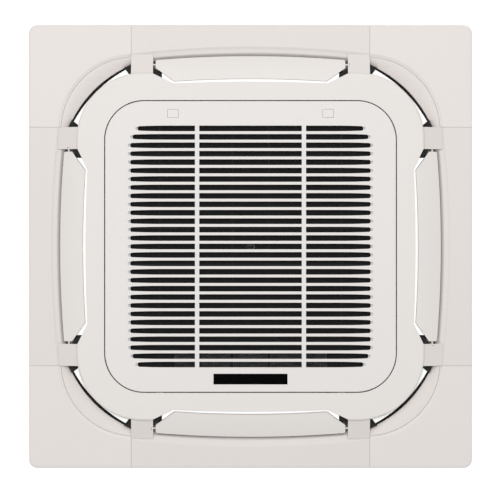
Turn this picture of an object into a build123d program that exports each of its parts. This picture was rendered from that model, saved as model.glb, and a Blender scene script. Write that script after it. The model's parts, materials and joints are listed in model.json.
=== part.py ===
"""Four-way ceiling cassette air conditioner, 950 mm fascia on an 840 mm cabinet.

Millimetres. +Z is up, the fascia faces down (-Z), and the origin is the centre of the
ceiling plane, where the back rim of the fascia meets the finished ceiling.
The latch edge of the intake grille is at -Y, its hinge edge and display at +Y.
Side pieces are drawn at +Y and corner pieces at +X+Y, then turned about Z.
"""
from build123d import *
import os
from functools import partial
from math import cos, hypot, radians, sin, sqrt

os.makedirs("parts", exist_ok=True)

# ---- fascia seen from below ----
FASCIA_HALF = 475.0
FASCIA_CORNER_RADIUS = 18.0
FASCIA_EDGE_ROUND = 4.0
COVER_SEAM = 255.5            # seam between a side of the frame and a corner cover
SEAM_GAP = 0.4
BAND_HALF = 430.0             # sunken band: bulging sides with tangent corners
BAND_SIDE_RADIUS = 2175.0
BAND_CORNER_RADIUS = 165.0
BAND_CREASE = 8.0             # width of the step on a corner cover
RING_HALF = 371.0             # raised ring round the grille
RING_CORNER_RADIUS = 140.0
RING_EDGE_ROUND = 4.0
VENT_END = 390.6              # outer edge of a corner vent, at its ends and on the diagonal
VENT_DIAGONAL = 336.4
VENT_TOP = -9.5
VENT_LINER_END = 384.0        # outer edge of the white foam in a vent, likewise
VENT_LINER_DIAGONAL = 330.4
VENT_LINER_BOTTOM = -26.0
VENT_PAD_ROOT = 363.0         # black foam fills a vent's end up to a slanted line, from here on the seam
VENT_PAD_TIP = (281.0, 395.0)
VENT_PAD_BOTTOM = -16.0
DISH_DIAGONAL = 361.5         # outer edge of the dished strip, on the diagonal
DISH_STEPS = 6
BRIDGE_INNER = 208.5          # a bridge runs from here to the cover seam

# ---- fascia levels ----
FRAME_FACE = -18.0
BAND_FACE = -16.0
RING_FACE = -36.0
COVER_FLOOR = -11.0           # floor of the frame above a corner cover
LEDGE_FACE = -18.0            # ledge of the ring above the edge of the grille
CABINET_BOTTOM = 12.0
BRIDGE_FACE_IN = -31.0        # a bridge slopes from the ring up to the band
BRIDGE_FACE_OUT = -18.0
SKIN = 2.5                    # moulded wall thickness
RIM_SKIN = 3.0

# Flare of the outlet's outer wall: inward from the band's outline, and height.
FLARE = [(0, -18.2), (2.5, -17.7), (5.5, -16.6), (8, -16.1), (14, -15.4), (16, -14.2), (22.5, -8), (23, 0.5)]
FLOOR_EDGE = 4.0              # the floor above a corner cover stops this far inside the fascia's edge
SEAL_OVERLAP = 14.0           # of the foam seal over the ring
SEAL_SLOT_INSET = 21.5
SEAL_SLIT = (3.5, 2.5)        # the seal's slit over a vent: inward from its ends and its diagonal
SEAL_SLIT_INNER = (30.0, 14.0)

# ---- louvre slots and louvres ----
SLOT_INNER_MID = 351.8
SLOT_INNER_END = (165.0, 348.0)
SLOT_SHOULDER = (188.0, 359.5)
SLOT_CORNER = (BRIDGE_INNER, 369.6)
LOUVRE_INNER_MID = 358.5
LOUVRE_INNER_END = (163.0, 353.0)
LOUVRE_CHAMFER_END = (203.0, 382.0)
LOUVRE_OUTER_END = (203.0, 399.3)
LOUVRE_OUTER_MID = 408.0
LOUVRE_FACE_IN = -31.0
LOUVRE_FACE_OUT = -17.5
LOUVRE_BULGE = 2.0
LOUVRE_THICK = 3.0
LOUVRE_CORNER_ROUND = 4.0
PIVOT_Y = 389.0
PIVOT_Z = -20.5
PIVOT_RADIUS = 2.0
SHAFT_CLEARANCE = 0.05
MOTOR_CENTRE = (386.5, -13.2)
MOTOR_RADIUS = 10.0
MOTOR_LENGTH = 18.0
MOTOR_EARS = 22.5             # span of a motor's two ears, and their low and high edges from its centre
MOTOR_EAR_REACH = (-4.0, 3.0)
BUSH_RADIUS = 4.5
LINER_END = 189.0             # white foam up to here from the middle of a slot, black beyond
LINER_LIP = (-34.0, -29.0)
LINER_BACK = (-29.0, -13.0)
LINER_GAP = 0.9               # between a closed louvre and the foam's lip
SWING_GAP = 2.4               # and the foam behind it, which the louvre swings past
PAD_BOTTOM = -24.0
PAD_REACH = 381.0

# ---- intake grille ----
GRILLE_HALF = 310.5
GRILLE_CORNER_RADIUS = 83.0
GRILLE_SEAM = 2.0
GRILLE_WALL_TOP = -26.0
GRILLE_EDGE_ROUND = 1.5
SLAT_TOP = -28.0
SLOT_ROWS = 29
SLOT_PITCH = 18.0
SLOT_HEIGHT = 12.0
SLOT_END_HEIGHT = 9.4
SLOT_END_ROUND = 4.2
SLOT_TAPER = 60.0
SCOOP_RADIUS = 3.4            # a sloping scoop at the outer end of each slot
SCOOP_DEPTH = 4.2
SLOT_HALF_WIDTH = 256.6
SLOT_HALF_WIDTH_ROW2 = 251.7  # second row from each end
SLOT_HALF_WIDTH_ROW1 = 240.7  # end rows
BAR_X = 114.0                 # two upright bars across the slots
BAR_WIDTH = 9.2
SLATTED_HALF = 268.0          # thick slatted field
SLATTED_CORNER = 30.0
DISPLAY_Y = 283.0
DISPLAY_SIZE = (158.0, 22.8)
DISPLAY_LAMPS = 5
LATCH_X = 165.5
LATCH_Y = -284.0
LATCH_SIZE = (23.1, 17.4)
LATCH_GAP = 0.3
HINGE_X = 194.0               # gooseneck hinges: hooks on the grille ride over saddles on the ring
HINGE_Y = 308.4
HINGE_Z = -35.3
HOOK_INNER = 11.0
HOOK_OUTER = 13.5
HOOK_WIDTH = 8.0
HOOK_TIP_ANGLE = 45.0         # from +Y towards +Z, seen along -X
SADDLE_INNER = 8.5
SADDLE_OUTER = 10.7
SADDLE_BOTTOM = -32.0
SADDLE_CHEEK = 2.0
HINGE_HALF = 9.0              # half width of the notch in the grille's wall at a hinge
RETURN_HALF = 290.0           # clear opening of the frame behind the grille
RETURN_RADIUS = 62.0
FILTER_HALF = 278.0
FILTER_CORNER = 40.0
FILTER_CELLS = 7
FILTER_RIM = 6.0
FILTER_RIB = 2.4
FILTER_THICK = 4.0
FILTER_GROOVE = 1.6
FILTER_SHEET = 0.6

# ---- cabinet ----
CABINET_HALF = 420.0
CABINET_CUT = 150.0           # each corner is cut off by this much along both sides
CABINET_TOP = 252.0
SHEET = 1.2
LINING = 8.0
LID_SKIRT = 14.0
LID_RIB = (220.0, 16.0)       # eight pressed ribs round a pressed ring
LID_RIB_CENTRE = 260.0
LID_RIB_HEIGHT = 3.0
LID_RING = (104.0, 120.0)
PAN_TOP = 52.0
PAN_HOLE_RADIUS = 252.0
PAN_SLIT = (5.0, 1.5)         # the pan's slit over a vent, as the seal's
PAN_SLIT_INNER = (15.0, 6.5)
COIL_HALF = 350.0
COIL_DEPTH = 48.0
COIL_RADIUS = 110.0
COIL_TOP = CABINET_TOP - LINING
COIL_END = 190.0              # the coil stops here, leaving the +X+Y corner for pump and pipes
TUBE_PLATE = 1.5
TUBE_ROWS = 8
TUBE_BOTTOM = 56.0            # height of the lowest tubes
TUBE_PITCH = 21.0
TUBE_GAP = 24.0               # between the coil's two layers of tubes
TUBE_RADIUS = 4.0
HANGER_X = 390.0              # half of the 780 x 680 mm hanging rod pitch
HANGER_Y = 340.0
HANGER_Z = 150.0
HANGER_SLOT = (30.0, 12.0)
HANGER_PLATE = 2.5
HANGER_SCREWS = (44.0, 25.0, 48.0)    # along the wall either way, and both heights above HANGER_Z
CORNER_WALL = CABINET_HALF - CABINET_CUT / 2    # middle of a cut corner, in x and y
BELL_SCREW = 262.0
PAN_DUCT_X = 200.0            # outlet ducts through the drain pan
PAN_DUCT_Y = (361.0, 412.0)
TROUGH_MARGIN = 5.0           # of the pan's trough round the coil
TROUGH_FLOOR = 36.0
SUMP_RADIUS = 40.0
SUMP_FLOOR = 33.0
COIL_FOOT = 40.0              # the coil stands this high, in the trough
FIXING_XY = 378.0             # fascia bolts, under the corner covers
FIXING_RADIUS = 3.0
BOLT_HEAD_RADIUS = 7.5
BOLT_HEAD_HEIGHT = 3.2
BOLT_CROSS = (8.0, 1.4, 1.6)  # length, width and depth of the recess in the head
TAB_WIDTH = 60.0              # of a fascia bracket
TAB_LEG = 34.0
ACCESS_XY = 415.0             # hole under a corner cover, for reaching the hanging rod
ACCESS_SIZE = (90.0, 44.0)
CLIP_POINTS = [(290, 452), (452, 290), (452, 452)]    # clips of a corner cover
CLIP_RADIUS = 3.0
CLIP_HOLE = 3.4
SCREW_RADIUS = 2.0
SCREW_HEAD_RADIUS = 4.0
SCREW_HEAD_HEIGHT = 2.6
PLUG_RADIUS = 11.0
GROMMET = (-200.0, 90.0)      # x and z of the cable inlet in the +Y wall
GROMMET_RADIUS = 12.0
GROMMET_BORE = 7.0

# ---- fan ----
FAN_RADIUS = 232.0
FAN_PLATE_Z = 188.0
FAN_SKIN = 2.6
FAN_INLET_RADIUS = 219.0
FAN_INLET_Z = 62.0
SHROUD_NECK_Z = 74.0          # the shroud's upper side slopes from here to its outer edge
SHROUD_EDGE_Z = 97.0
HUB_RADIUS = 20.0
HUB_TOP = 168.0
HUB_SHELF_Z = 146.0
HUB_CONE = (44.0, 96.0)       # the hub's cone starts and ends at these radii
BLADES = 7
BLADE_BOTTOM = 82.0
BLADE_INNER = 150.0
BLADE_SWEEP = 34.0
BLADE_BOW = 12.0
BLADE_THICK = 6.0
THROAT_RADIUS = 214.0
THROAT_TOP = 66.0
BELL_Z = 30.0
BELL_SKIN = 2.0
BELL_FLARE = 26.0
HUB_BOTTOM = 140.0
SHAFT_END = 126.0
SHAFT_RADIUS = 5.0
MOTOR_HOUSING_RADIUS = 68.0
MOTOR_HOUSING_BOTTOM = 198.0
MOTOR_HOUSING_HEIGHT = 46.0
MOTOR_BORE_DEPTH = 39.0
MOTOR_FEET = 3
FOOT_CIRCLE = 84.0
FOOT_Z = 240.0

# ---- electrical box ----
EBOX_Y = (224.0, 284.0)
EBOX_MID_Y = 254.0
EBOX_BOTTOM = -8.0
EBOX_HALF_LENGTH = 165.0
EBOX_SCREW_X = 150.0
BOARD_FACE = 20.0
BOARD_THICK = 1.6
BOARD_LENGTH = 260.0
BOARD_WIDTH = 50.0
BOARD_POSTS = [(-122.0, 234.0), (122.0, 234.0)]
CAPACITOR = (-40.0, 244.0, 9.0, 20.0)     # x, y, radius, height
# Relays, filter, chip and connectors: x, y, length, width, height.
BOARD_BLOCKS = [(-108, 247, 24, 30, 14), (-74, 241, 20, 18, 12), (7, 252, 34, 32, 3),
                (60, 239, 20, 14, 10), (60, 261, 20, 14, 10), (96.5, 243, 9, 18, 8),
                (108.5, 243, 9, 18, 8), (120.5, 243, 9, 18, 8)]

# ---- pump corner and pipes ----
PUMP_XY = 285.0
PUMP_FLANGE_TOP = 112.0
PUMP_MOTOR_RADIUS = 28.0
PUMP_MOTOR_HEIGHT = 48.0
PUMP_FLANGE_RADIUS = 35.0
PUMP_FLANGE_THICK = 6.0
PUMP_BARREL_RADIUS = 17.0
PUMP_BARREL_BORE = 14.0
PUMP_BARREL_BOTTOM = 56.0
PUMP_BORE_TOP = 98.0
IMPELLER_Z = (50.0, 128.0)
IMPELLER_VANES = (24.0, 2.0)
IMPELLER_VANES_Z = (60.0, 92.0)
BRACKET_OUTLINE = [(258, 320), (320, 320), (352, 236), (345, 216), (322, 220), (262, 250), (250, 300)]
BRACKET_EDGE = 320.0
BRACKET_STRAP_X = (262.0, 308.0)
BRACKET_THICK = 2.0
SPOUT_WAY = (-1 / sqrt(2), 1 / sqrt(2), 0)
SPOUT_Z = 90.0
SPOUT_RADIUS = 7.0
SPOUT_BORE = 5.0
SPOUT_LENGTH = 34.0
IMPELLER_SHAFT = 2.5
FLOAT_POS = (335.0, 232.0)
FLOAT_RADIUS = 11.0
FLOAT_Z = (45.0, 63.0)
FLOAT_FIT = 0.08
FLOAT_STEM = 3.0
FLOAT_STOP_RADIUS = 6.0
FLOAT_STOPS = [(42.0, 44.0), (84.0, 87.0)]
FLOAT_HEAD = (9.0, 12.0)      # radius and height of the switch's head under the bracket
GAS_PIPE = (235.0, 150.0, 7.95, 10.3)     # y, z, radius and nut thread radius, +X wall
LIQUID_PIPE = (198.0, 150.0, 4.75, 7.5)
PIPE_OPENING_Y = (172.0, 262.0)
PIPE_OPENING_Z = (112.0, 188.0)
DRAIN_PIPE = (240.0, 196.0, 16.0)         # x, z and radius of the pipe leaving the +Y wall
PIPE_END = 468.0
NUT_LENGTH = 28.0
NUT_MOUTH = 12.0
NUT_RATIO = 1.5               # a flare nut's corners stand this many thread radii out

SIDES = {"display": 0, "left": 90, "latch": 180, "right": 270}
DIAGONAL = Plane(origin=(0, 0, 0), z_dir=(1, -1, 0))    # mirror plane of the +X+Y corner
CORNERS = {"display_right": 0, "display_left": 90, "latch_left": 180, "latch_right": 270}


# ---- helpers ----
def slab(outline, low, high):
    """A flat outline made into a solid between two heights."""
    return extrude(Pos(0, 0, low) * outline, amount=high - low, dir=(0, 0, 1))


def block(x, y, z):
    """A box from its low and high coordinates on each axis."""
    size = (x[1] - x[0], y[1] - y[0], z[1] - z[0])
    return Pos((x[0] + x[1]) / 2, (y[0] + y[1]) / 2, (z[0] + z[1]) / 2) * Box(*size)


def rod(start, direction, length, radius):
    """A round bar that starts at a point and runs along a direction."""
    return extrude(Plane(origin=start, z_dir=direction) * Circle(radius), amount=length)


def centred(middle, length):
    """The low and high ends of a length about a middle."""
    return (middle - length / 2, middle + length / 2)


def turned(shape, angle):
    return Rot(0, 0, angle) * shape


def around(shape):
    """The shape at each of the four sides or corners."""
    return [turned(shape, 90 * k) for k in range(4)]


def square(half, radius):
    return RectangleRounded(2 * half, 2 * half, radius)


def arc(start, middle, end):
    return ThreePointArc(start, middle, end)


def bulged_square(inset):
    """The band's outline moved inward: four side arcs, each tangent to the corner arcs."""
    side_radius = BAND_SIDE_RADIUS - inset
    corner_radius = BAND_CORNER_RADIUS - inset
    drop = BAND_SIDE_RADIUS - BAND_HALF
    reach = BAND_SIDE_RADIUS - BAND_CORNER_RADIUS
    centre = (sqrt(2 * reach**2 - drop**2) - drop) / 2
    joint_x = side_radius * centre / reach
    joint_y = side_radius * (centre + drop) / reach - drop
    diagonal = centre + corner_radius / sqrt(2)
    side = arc((-joint_x, joint_y), (0, BAND_HALF - inset), (joint_x, joint_y))
    corner = arc((joint_x, joint_y), (diagonal, diagonal), (joint_y, joint_x))
    edges = [turned(edge, -90 * k) for k in range(4) for edge in (side, corner)]
    return make_face(edges)


def band_y(x, inset):
    """Where the band's outline, moved inward, lies at a given x on the +Y side."""
    side_radius = BAND_SIDE_RADIUS - inset
    return sqrt(side_radius**2 - x**2) - (BAND_SIDE_RADIUS - BAND_HALF)


def corner_sector(end, diagonal):
    """The part of the +X+Y corner inside an arc that runs from seam to seam."""
    start = (COVER_SEAM, end)
    finish = (end, COVER_SEAM)
    corner = (COVER_SEAM, COVER_SEAM)
    return make_face([arc(start, (diagonal, diagonal), finish), Line(finish, corner), Line(corner, start)])


def crease_sector(inset):
    """The part of the +X+Y corner inside the band's outline moved inward."""
    return bulged_square(inset) & Pos(COVER_SEAM + 100, COVER_SEAM + 100) * Rectangle(200, 200)


def slot_outline(outer_inset):
    """A louvre slot at +Y, out to the band's outline moved inward."""
    inner = arc((-SLOT_INNER_END[0], SLOT_INNER_END[1]), (0, SLOT_INNER_MID), SLOT_INNER_END)
    end_y = band_y(BRIDGE_INNER, outer_inset)
    outer = arc((BRIDGE_INNER, end_y), (0, BAND_HALF - outer_inset), (-BRIDGE_INNER, end_y))
    right = Polyline(SLOT_INNER_END, SLOT_SHOULDER, SLOT_CORNER, (BRIDGE_INNER, end_y))
    left = mirror(right, about=Plane.YZ)
    return make_face([*inner.edges(), *right.edges(), *outer.edges(), *left.edges()])


def octagon_points(inset):
    """Corners of the cabinet's outline moved inward by the same distance on all eight sides."""
    half = CABINET_HALF - inset
    near = half - CABINET_CUT + inset * (2 - sqrt(2))
    points = [(half, -near), (half, near), (near, half), (-near, half)]
    return points + [(-x, -y) for x, y in points]


def shrunk_octagon(inset):
    return Polygon(*octagon_points(inset), align=None)


# ---- fascia frame ----
def flare_cutter():
    """The hole inside the band, flared from the throat out to the band's outline."""
    return loft([Pos(0, 0, z) * bulged_square(inset) for inset, z in FLARE], ruled=True)


def corner_square():
    """The square of a corner cover, with the seams on two sides."""
    size = FASCIA_HALF + 10 - COVER_SEAM
    return Pos(COVER_SEAM + size / 2, COVER_SEAM + size / 2) * Rectangle(size, size)


def rounded_plate(bottom, top):
    """The fascia's outer outline as a plate with a rounded lower edge."""
    plate = slab(square(FASCIA_HALF, FASCIA_CORNER_RADIUS), bottom, top)
    return fillet(plate.edges().group_by(Axis.Z)[0], FASCIA_EDGE_ROUND)


def frame_sides():
    """The four flat sides, their rim and the flared lip round the outlets."""
    plate = rounded_plate(FRAME_FACE, 0)
    hollow = square(FASCIA_HALF - RIM_SKIN, FASCIA_CORNER_RADIUS - RIM_SKIN) - bulged_square(-SKIN)
    sides = plate - slab(hollow, FRAME_FACE + SKIN, 1) - flare_cutter()
    for corner in around(corner_square()):
        sides -= slab(corner, FRAME_FACE - 1, 1)
    end_wall = block((COVER_SEAM - SKIN, COVER_SEAM), (BAND_HALF - 14, FASCIA_HALF - 1), (FRAME_FACE + 1, 0))
    for wall in (end_wall, mirror(end_wall, about=Plane.YZ)):
        for piece in around(wall):
            sides += piece
    return sides


def vent_strip():
    """The dished strip between a corner cover's crease and the corner vent."""
    edge_end, edge_z = band_y(COVER_SEAM, BAND_CREASE) + 1, BAND_FACE - 0.1
    levels = []
    for step in range(DISH_STEPS + 1):
        way = step / DISH_STEPS
        end = edge_end + way * (VENT_END - edge_end)
        diagonal = DISH_DIAGONAL + way * (VENT_DIAGONAL - DISH_DIAGONAL)
        levels.append(Pos(0, 0, edge_z + way**2 * (VENT_TOP - edge_z)) * corner_sector(end, diagonal))
    strip = slab(crease_sector(BAND_CREASE + SEAM_GAP), BAND_FACE, 0) - loft(levels, ruled=True)
    return strip - slab(corner_sector(VENT_END, VENT_DIAGONAL), VENT_TOP, 1)


def corner_floor():
    """The floor above a corner cover, with clip holes, a bolt hole and an access hole."""
    area = square(FASCIA_HALF - FLOOR_EDGE, FASCIA_CORNER_RADIUS - FLOOR_EDGE) & corner_square()
    area -= crease_sector(BAND_CREASE + SEAM_GAP + SKIN)
    area -= Pos(FIXING_XY, FIXING_XY) * Circle(FIXING_RADIUS + 0.5)
    area -= Pos(ACCESS_XY, ACCESS_XY) * Rot(0, 0, -45) * SlotOverall(*ACCESS_SIZE)
    for x, y in CLIP_POINTS:
        area -= Pos(x, y) * Circle(CLIP_HOLE)
    return slab(area, COVER_FLOOR, COVER_FLOOR + SKIN)


def ring_outline():
    """The raised ring's outline, notched by the four louvre slots."""
    outline = square(RING_HALF, RING_CORNER_RADIUS)
    for notch in around(slot_outline(0)):
        outline -= notch
    return outline


def ring_blank():
    """The raised ring's outer form as a solid block, notched by the louvre slots."""
    body = slab(square(RING_HALF, RING_CORNER_RADIUS), RING_FACE, 0)
    body = fillet(body.edges().group_by(Axis.Z)[0], RING_EDGE_ROUND)
    for notch in around(slot_outline(0)):
        body -= slab(notch, RING_FACE - 1, 1)
    return body


def ring_channel():
    """The raised ring as a channel open upwards, with the ledge behind the grille."""
    outline = ring_outline()
    hole = square(GRILLE_HALF + GRILLE_SEAM, GRILLE_CORNER_RADIUS + GRILLE_SEAM)
    wall = square(GRILLE_HALF + GRILLE_SEAM + SKIN, GRILLE_CORNER_RADIUS + GRILLE_SEAM + SKIN)
    clear = square(RETURN_HALF, RETURN_RADIUS)
    body = ring_blank() - slab(hole, RING_FACE - 1, LEDGE_FACE)
    body -= slab(clear, LEDGE_FACE - 1, 1)
    body -= slab(offset(outline, -SKIN) - wall, RING_FACE + SKIN, 1)
    body -= slab(wall - square(RETURN_HALF + SKIN, RETURN_RADIUS + SKIN), LEDGE_FACE + SKIN, 1)
    return body


def bridge():
    """A hollow block across the outlet, between a louvre slot and a corner vent."""
    outer_y = band_y(COVER_SEAM, 3)
    inner_y = RING_HALF - 5
    profile = [(inner_y, BRIDGE_FACE_IN), (outer_y, BRIDGE_FACE_OUT), (outer_y, 0), (inner_y, 0)]
    wall = 1.6
    slope = (BRIDGE_FACE_OUT - BRIDGE_FACE_IN) / (outer_y - inner_y)
    low_y = RING_HALF + 0.5
    high_y = outer_y - 5
    low_z = BRIDGE_FACE_IN + slope * (low_y - inner_y) + wall
    high_z = BRIDGE_FACE_IN + slope * (high_y - inner_y) + wall
    pocket = [(low_y, low_z), (high_y, high_z), (high_y, 1), (low_y, 1)]
    side_plane = Plane(origin=(BRIDGE_INNER, 0, 0), x_dir=(0, 1, 0), z_dir=(1, 0, 0))
    width = COVER_SEAM - BRIDGE_INNER
    solid = extrude(side_plane * Polygon(*profile, align=None), amount=width)
    pocket_plane = side_plane.offset(SKIN)
    return solid - extrude(pocket_plane * Polygon(*pocket, align=None), amount=width - 2 * SKIN)


def hinge_tube(half_width, inner, outer):
    """A tube about the grille's hinge axis, at the +X hinge."""
    start = (HINGE_X - half_width, HINGE_Y, HINGE_Z)
    tube = rod(start, (1, 0, 0), 2 * half_width, outer)
    return tube - rod(start, (1, 0, 0), 2 * half_width, inner)


def hinge_saddle():
    """The saddle that a hook of the grille rides over, between two cheeks under the ledge."""
    inside = HOOK_WIDTH / 2 + 0.5
    outside = inside + SADDLE_CHEEK
    span = (HINGE_Y - SADDLE_OUTER + 0.5, GRILLE_HALF + GRILLE_SEAM + 1)
    saddle = hinge_tube(outside, SADDLE_INNER, SADDLE_OUTER)
    saddle &= block((HINGE_X - outside, HINGE_X + outside), span, (SADDLE_BOTTOM, LEDGE_FACE))
    for low, high in ((-outside, -inside), (inside, outside)):
        saddle += block((HINGE_X + low, HINGE_X + high), span, (SADDLE_BOTTOM, LEDGE_FACE + 1))
    return saddle


def fascia_ring():
    """The raised ring, with its two grille hinges."""
    body = ring_channel()
    wall = (GRILLE_HALF + GRILLE_SEAM - 1, GRILLE_HALF + GRILLE_SEAM + SKIN + 1)
    pocket = block(centred(HINGE_X, HOOK_WIDTH + 1), wall, (HINGE_Z + 6, LEDGE_FACE - 1))
    for shape in (pocket, mirror(pocket, about=Plane.YZ)):
        body -= shape
    for shape in (hinge_saddle(), mirror(hinge_saddle(), about=Plane.YZ)):
        body += shape
    return body


def fascia_frame():
    """The outer frame: sides, bridges, dished corner strips and the floors above the covers."""
    frame = frame_sides()
    right_bridge = bridge() - rod((BRIDGE_INNER - 1, PIVOT_Y, PIVOT_Z), (1, 0, 0), 4.5, PIVOT_RADIUS + 1)
    left_bridge = mirror(bridge(), about=Plane.YZ)
    left_bridge -= rod((1 - BRIDGE_INNER, PIVOT_Y, PIVOT_Z), (-1, 0, 0), 4.5, BUSH_RADIUS)
    for piece in around(right_bridge) + around(left_bridge) + around(vent_strip()) + around(corner_floor()):
        frame += piece
    return frame - ring_blank()


# ---- fascia trim ----
def corner_cover(angle):
    """A snap-in corner cover: face, rim, stepped edge over the band and three clips."""
    plate = rounded_plate(FRAME_FACE, 0)
    hollow = square(FASCIA_HALF - RIM_SKIN, FASCIA_CORNER_RADIUS - RIM_SKIN) - bulged_square(-SKIN)
    plate -= slab(hollow, FRAME_FACE + SKIN, 1)
    low = COVER_SEAM + SEAM_GAP
    cover = plate & block((low, FASCIA_HALF + 5), (low, FASCIA_HALF + 5), (FRAME_FACE - 1, 1))
    cover -= flare_cutter()
    cover -= slab(bulged_square(BAND_CREASE), FRAME_FACE - 1, 2)
    cover -= slab(bulged_square(-SKIN - 0.1), COVER_FLOOR - 0.5, 2)
    for x, y in CLIP_POINTS:
        cover += rod((x, y, FRAME_FACE + 1), (0, 0, 1), 15, CLIP_RADIUS)
    return turned(cover, angle)


def louvre_plan():
    """A louvre's outline seen from below, at +Y."""
    inner = arc((-LOUVRE_INNER_END[0], LOUVRE_INNER_END[1]), (0, LOUVRE_INNER_MID), LOUVRE_INNER_END)
    right = Polyline(LOUVRE_INNER_END, LOUVRE_CHAMFER_END, LOUVRE_OUTER_END)
    left = mirror(right, about=Plane.YZ)
    outer = arc(LOUVRE_OUTER_END, (0, LOUVRE_OUTER_MID), (-LOUVRE_OUTER_END[0], LOUVRE_OUTER_END[1]))
    plan = make_face([*inner.edges(), *right.edges(), *outer.edges(), *left.edges()])
    return fillet(plan.vertices(), LOUVRE_CORNER_ROUND)


def louvre(angle):
    """A curved outlet blade with a drive pin at one end and a plain pin at the other."""
    in_y, out_y = LOUVRE_INNER_END[1] - 2, LOUVRE_OUTER_MID + 2
    middle = ((in_y + out_y) / 2, (LOUVRE_FACE_IN + LOUVRE_FACE_OUT) / 2 - LOUVRE_BULGE)
    low = arc((in_y, LOUVRE_FACE_IN), middle, (out_y, LOUVRE_FACE_OUT))
    high = arc((in_y, LOUVRE_FACE_IN + LOUVRE_THICK), (middle[0], middle[1] + LOUVRE_THICK),
               (out_y, LOUVRE_FACE_OUT + LOUVRE_THICK))
    ends = [Line((in_y, LOUVRE_FACE_IN), (in_y, LOUVRE_FACE_IN + LOUVRE_THICK)),
            Line((out_y, LOUVRE_FACE_OUT), (out_y, LOUVRE_FACE_OUT + LOUVRE_THICK))]
    section = make_face([*low.edges(), *high.edges(), *ends])
    side_plane = Plane(origin=(-LOUVRE_OUTER_END[0] - 5, 0, 0), x_dir=(0, 1, 0), z_dir=(1, 0, 0))
    curved = extrude(side_plane * section, amount=2 * LOUVRE_OUTER_END[0] + 10)
    blade = slab(louvre_plan(), -60, 20) & curved
    ear_x = LOUVRE_OUTER_END[0] - 4
    for sign in (-1, 1):
        ear = rod((sign * ear_x, PIVOT_Y, PIVOT_Z), (sign, 0, 0), 4, 3.4)
        pin_length = 13.0 if sign > 0 else 9.0
        blade += ear
        blade += rod((sign * ear_x, PIVOT_Y, PIVOT_Z), (sign, 0, 0), 4 + pin_length, PIVOT_RADIUS)
    return turned(blade, angle)


def louvre_motors():
    """One stepping motor per louvre, inside the bridge beside its drive pin."""
    y, z = MOTOR_CENTRE
    start = BRIDGE_INNER + SKIN
    motor = rod((start, y, z), (1, 0, 0), MOTOR_LENGTH, MOTOR_RADIUS)
    low, high = MOTOR_EAR_REACH
    motor += block((start, start + SHEET), centred(y, MOTOR_EARS), (z + low, z + high))
    motor -= rod((start - 1, PIVOT_Y, PIVOT_Z), (1, 0, 0), 9, PIVOT_RADIUS + SHAFT_CLEARANCE)
    return Compound(around(motor))


def louvre_bushes():
    """A plain bush at the idle end of each louvre."""
    bush = rod((-BRIDGE_INNER, PIVOT_Y, PIVOT_Z), (-1, 0, 0), SKIN, BUSH_RADIUS)
    bush -= rod((-BRIDGE_INNER + 1, PIVOT_Y, PIVOT_Z), (-1, 0, 0), SKIN + 2, PIVOT_RADIUS + SHAFT_CLEARANCE)
    return Compound(around(bush))


def slot_margin(gap):
    """The strip of a slot at +Y between the ring and the inner edge of its louvre, less a gap."""
    margin = slot_outline(0) - offset(louvre_plan(), gap)
    half_depth = PAD_REACH - SLOT_INNER_END[1]
    return margin & Pos(0, PAD_REACH - half_depth) * Rectangle(2 * BRIDGE_INNER, 2 * half_depth)


def slot_liners():
    """White foam along the ring's edge in each slot: a lip below, set back above for the louvre's swing."""
    middle = Pos(0, PAD_REACH) * Rectangle(2 * LINER_END, PAD_REACH / 2)
    lip = slab(slot_margin(LINER_GAP) & middle, *LINER_LIP)
    return Compound(around(lip + slab(slot_margin(SWING_GAP) & middle, *LINER_BACK)))


def vent_gap():
    """A corner vent's gap between the ring and its outer edge, at +X+Y."""
    return corner_sector(VENT_END, VENT_DIAGONAL) - square(RING_HALF, RING_CORNER_RADIUS)


def vent_end():
    """The part of a corner vent's plan beside the bridge at +Y, as far as a slanted line."""
    return Polygon((COVER_SEAM, VENT_PAD_ROOT), VENT_PAD_TIP, (COVER_SEAM, VENT_PAD_TIP[1]), align=None)


def foam_pads():
    """Black foam at both ends of each louvre slot and of each corner vent."""
    width = BRIDGE_INNER - LINER_END
    end = Pos(LINER_END + width / 2, PAD_REACH) * Rectangle(width, PAD_REACH / 2)
    slot_pad = slab(slot_margin(SWING_GAP) & end, PAD_BOTTOM, 0)
    vent_pad = slab(vent_gap() & vent_end(), VENT_PAD_BOTTOM, 0)
    pads = [slot_pad, mirror(slot_pad, about=Plane.YZ), vent_pad, mirror(vent_pad, about=Plane.YZ)]
    return Compound([piece for pad in pads for piece in around(pad)])


def vent_liners():
    """White foam beside the ring in each corner vent, between the black pads."""
    liner = vent_gap() & corner_sector(VENT_LINER_END, VENT_LINER_DIAGONAL)
    end = slab(vent_end(), VENT_LINER_BOTTOM - 1, 1)
    liner = slab(liner, VENT_LINER_BOTTOM, 0) - end - mirror(end, about=DIAGONAL)
    return Compound(around(liner))


def vent_slit(outer, inner):
    """A slit above a corner vent, between two arcs moved inward from the vent's outer edge."""
    wide, narrow = (corner_sector(VENT_END - end, VENT_DIAGONAL - middle) for end, middle in (outer, inner))
    return wide - narrow


def fascia_seal():
    """Black foam between the fascia and the cabinet, round all the outlets."""
    outer = shrunk_octagon(0)
    inner = square(RING_HALF - SEAL_OVERLAP, RING_CORNER_RADIUS - SEAL_OVERLAP)
    seal = slab(outer - inner, 0, CABINET_BOTTOM)
    for slot in around(slot_outline(SEAL_SLOT_INSET)):
        seal -= slab(slot, -1, CABINET_BOTTOM + 1)
    slit = vent_slit(SEAL_SLIT, SEAL_SLIT_INNER)
    for gap in around(slit):
        seal -= slab(gap, -1, CABINET_BOTTOM + 1)
    return seal


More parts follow.
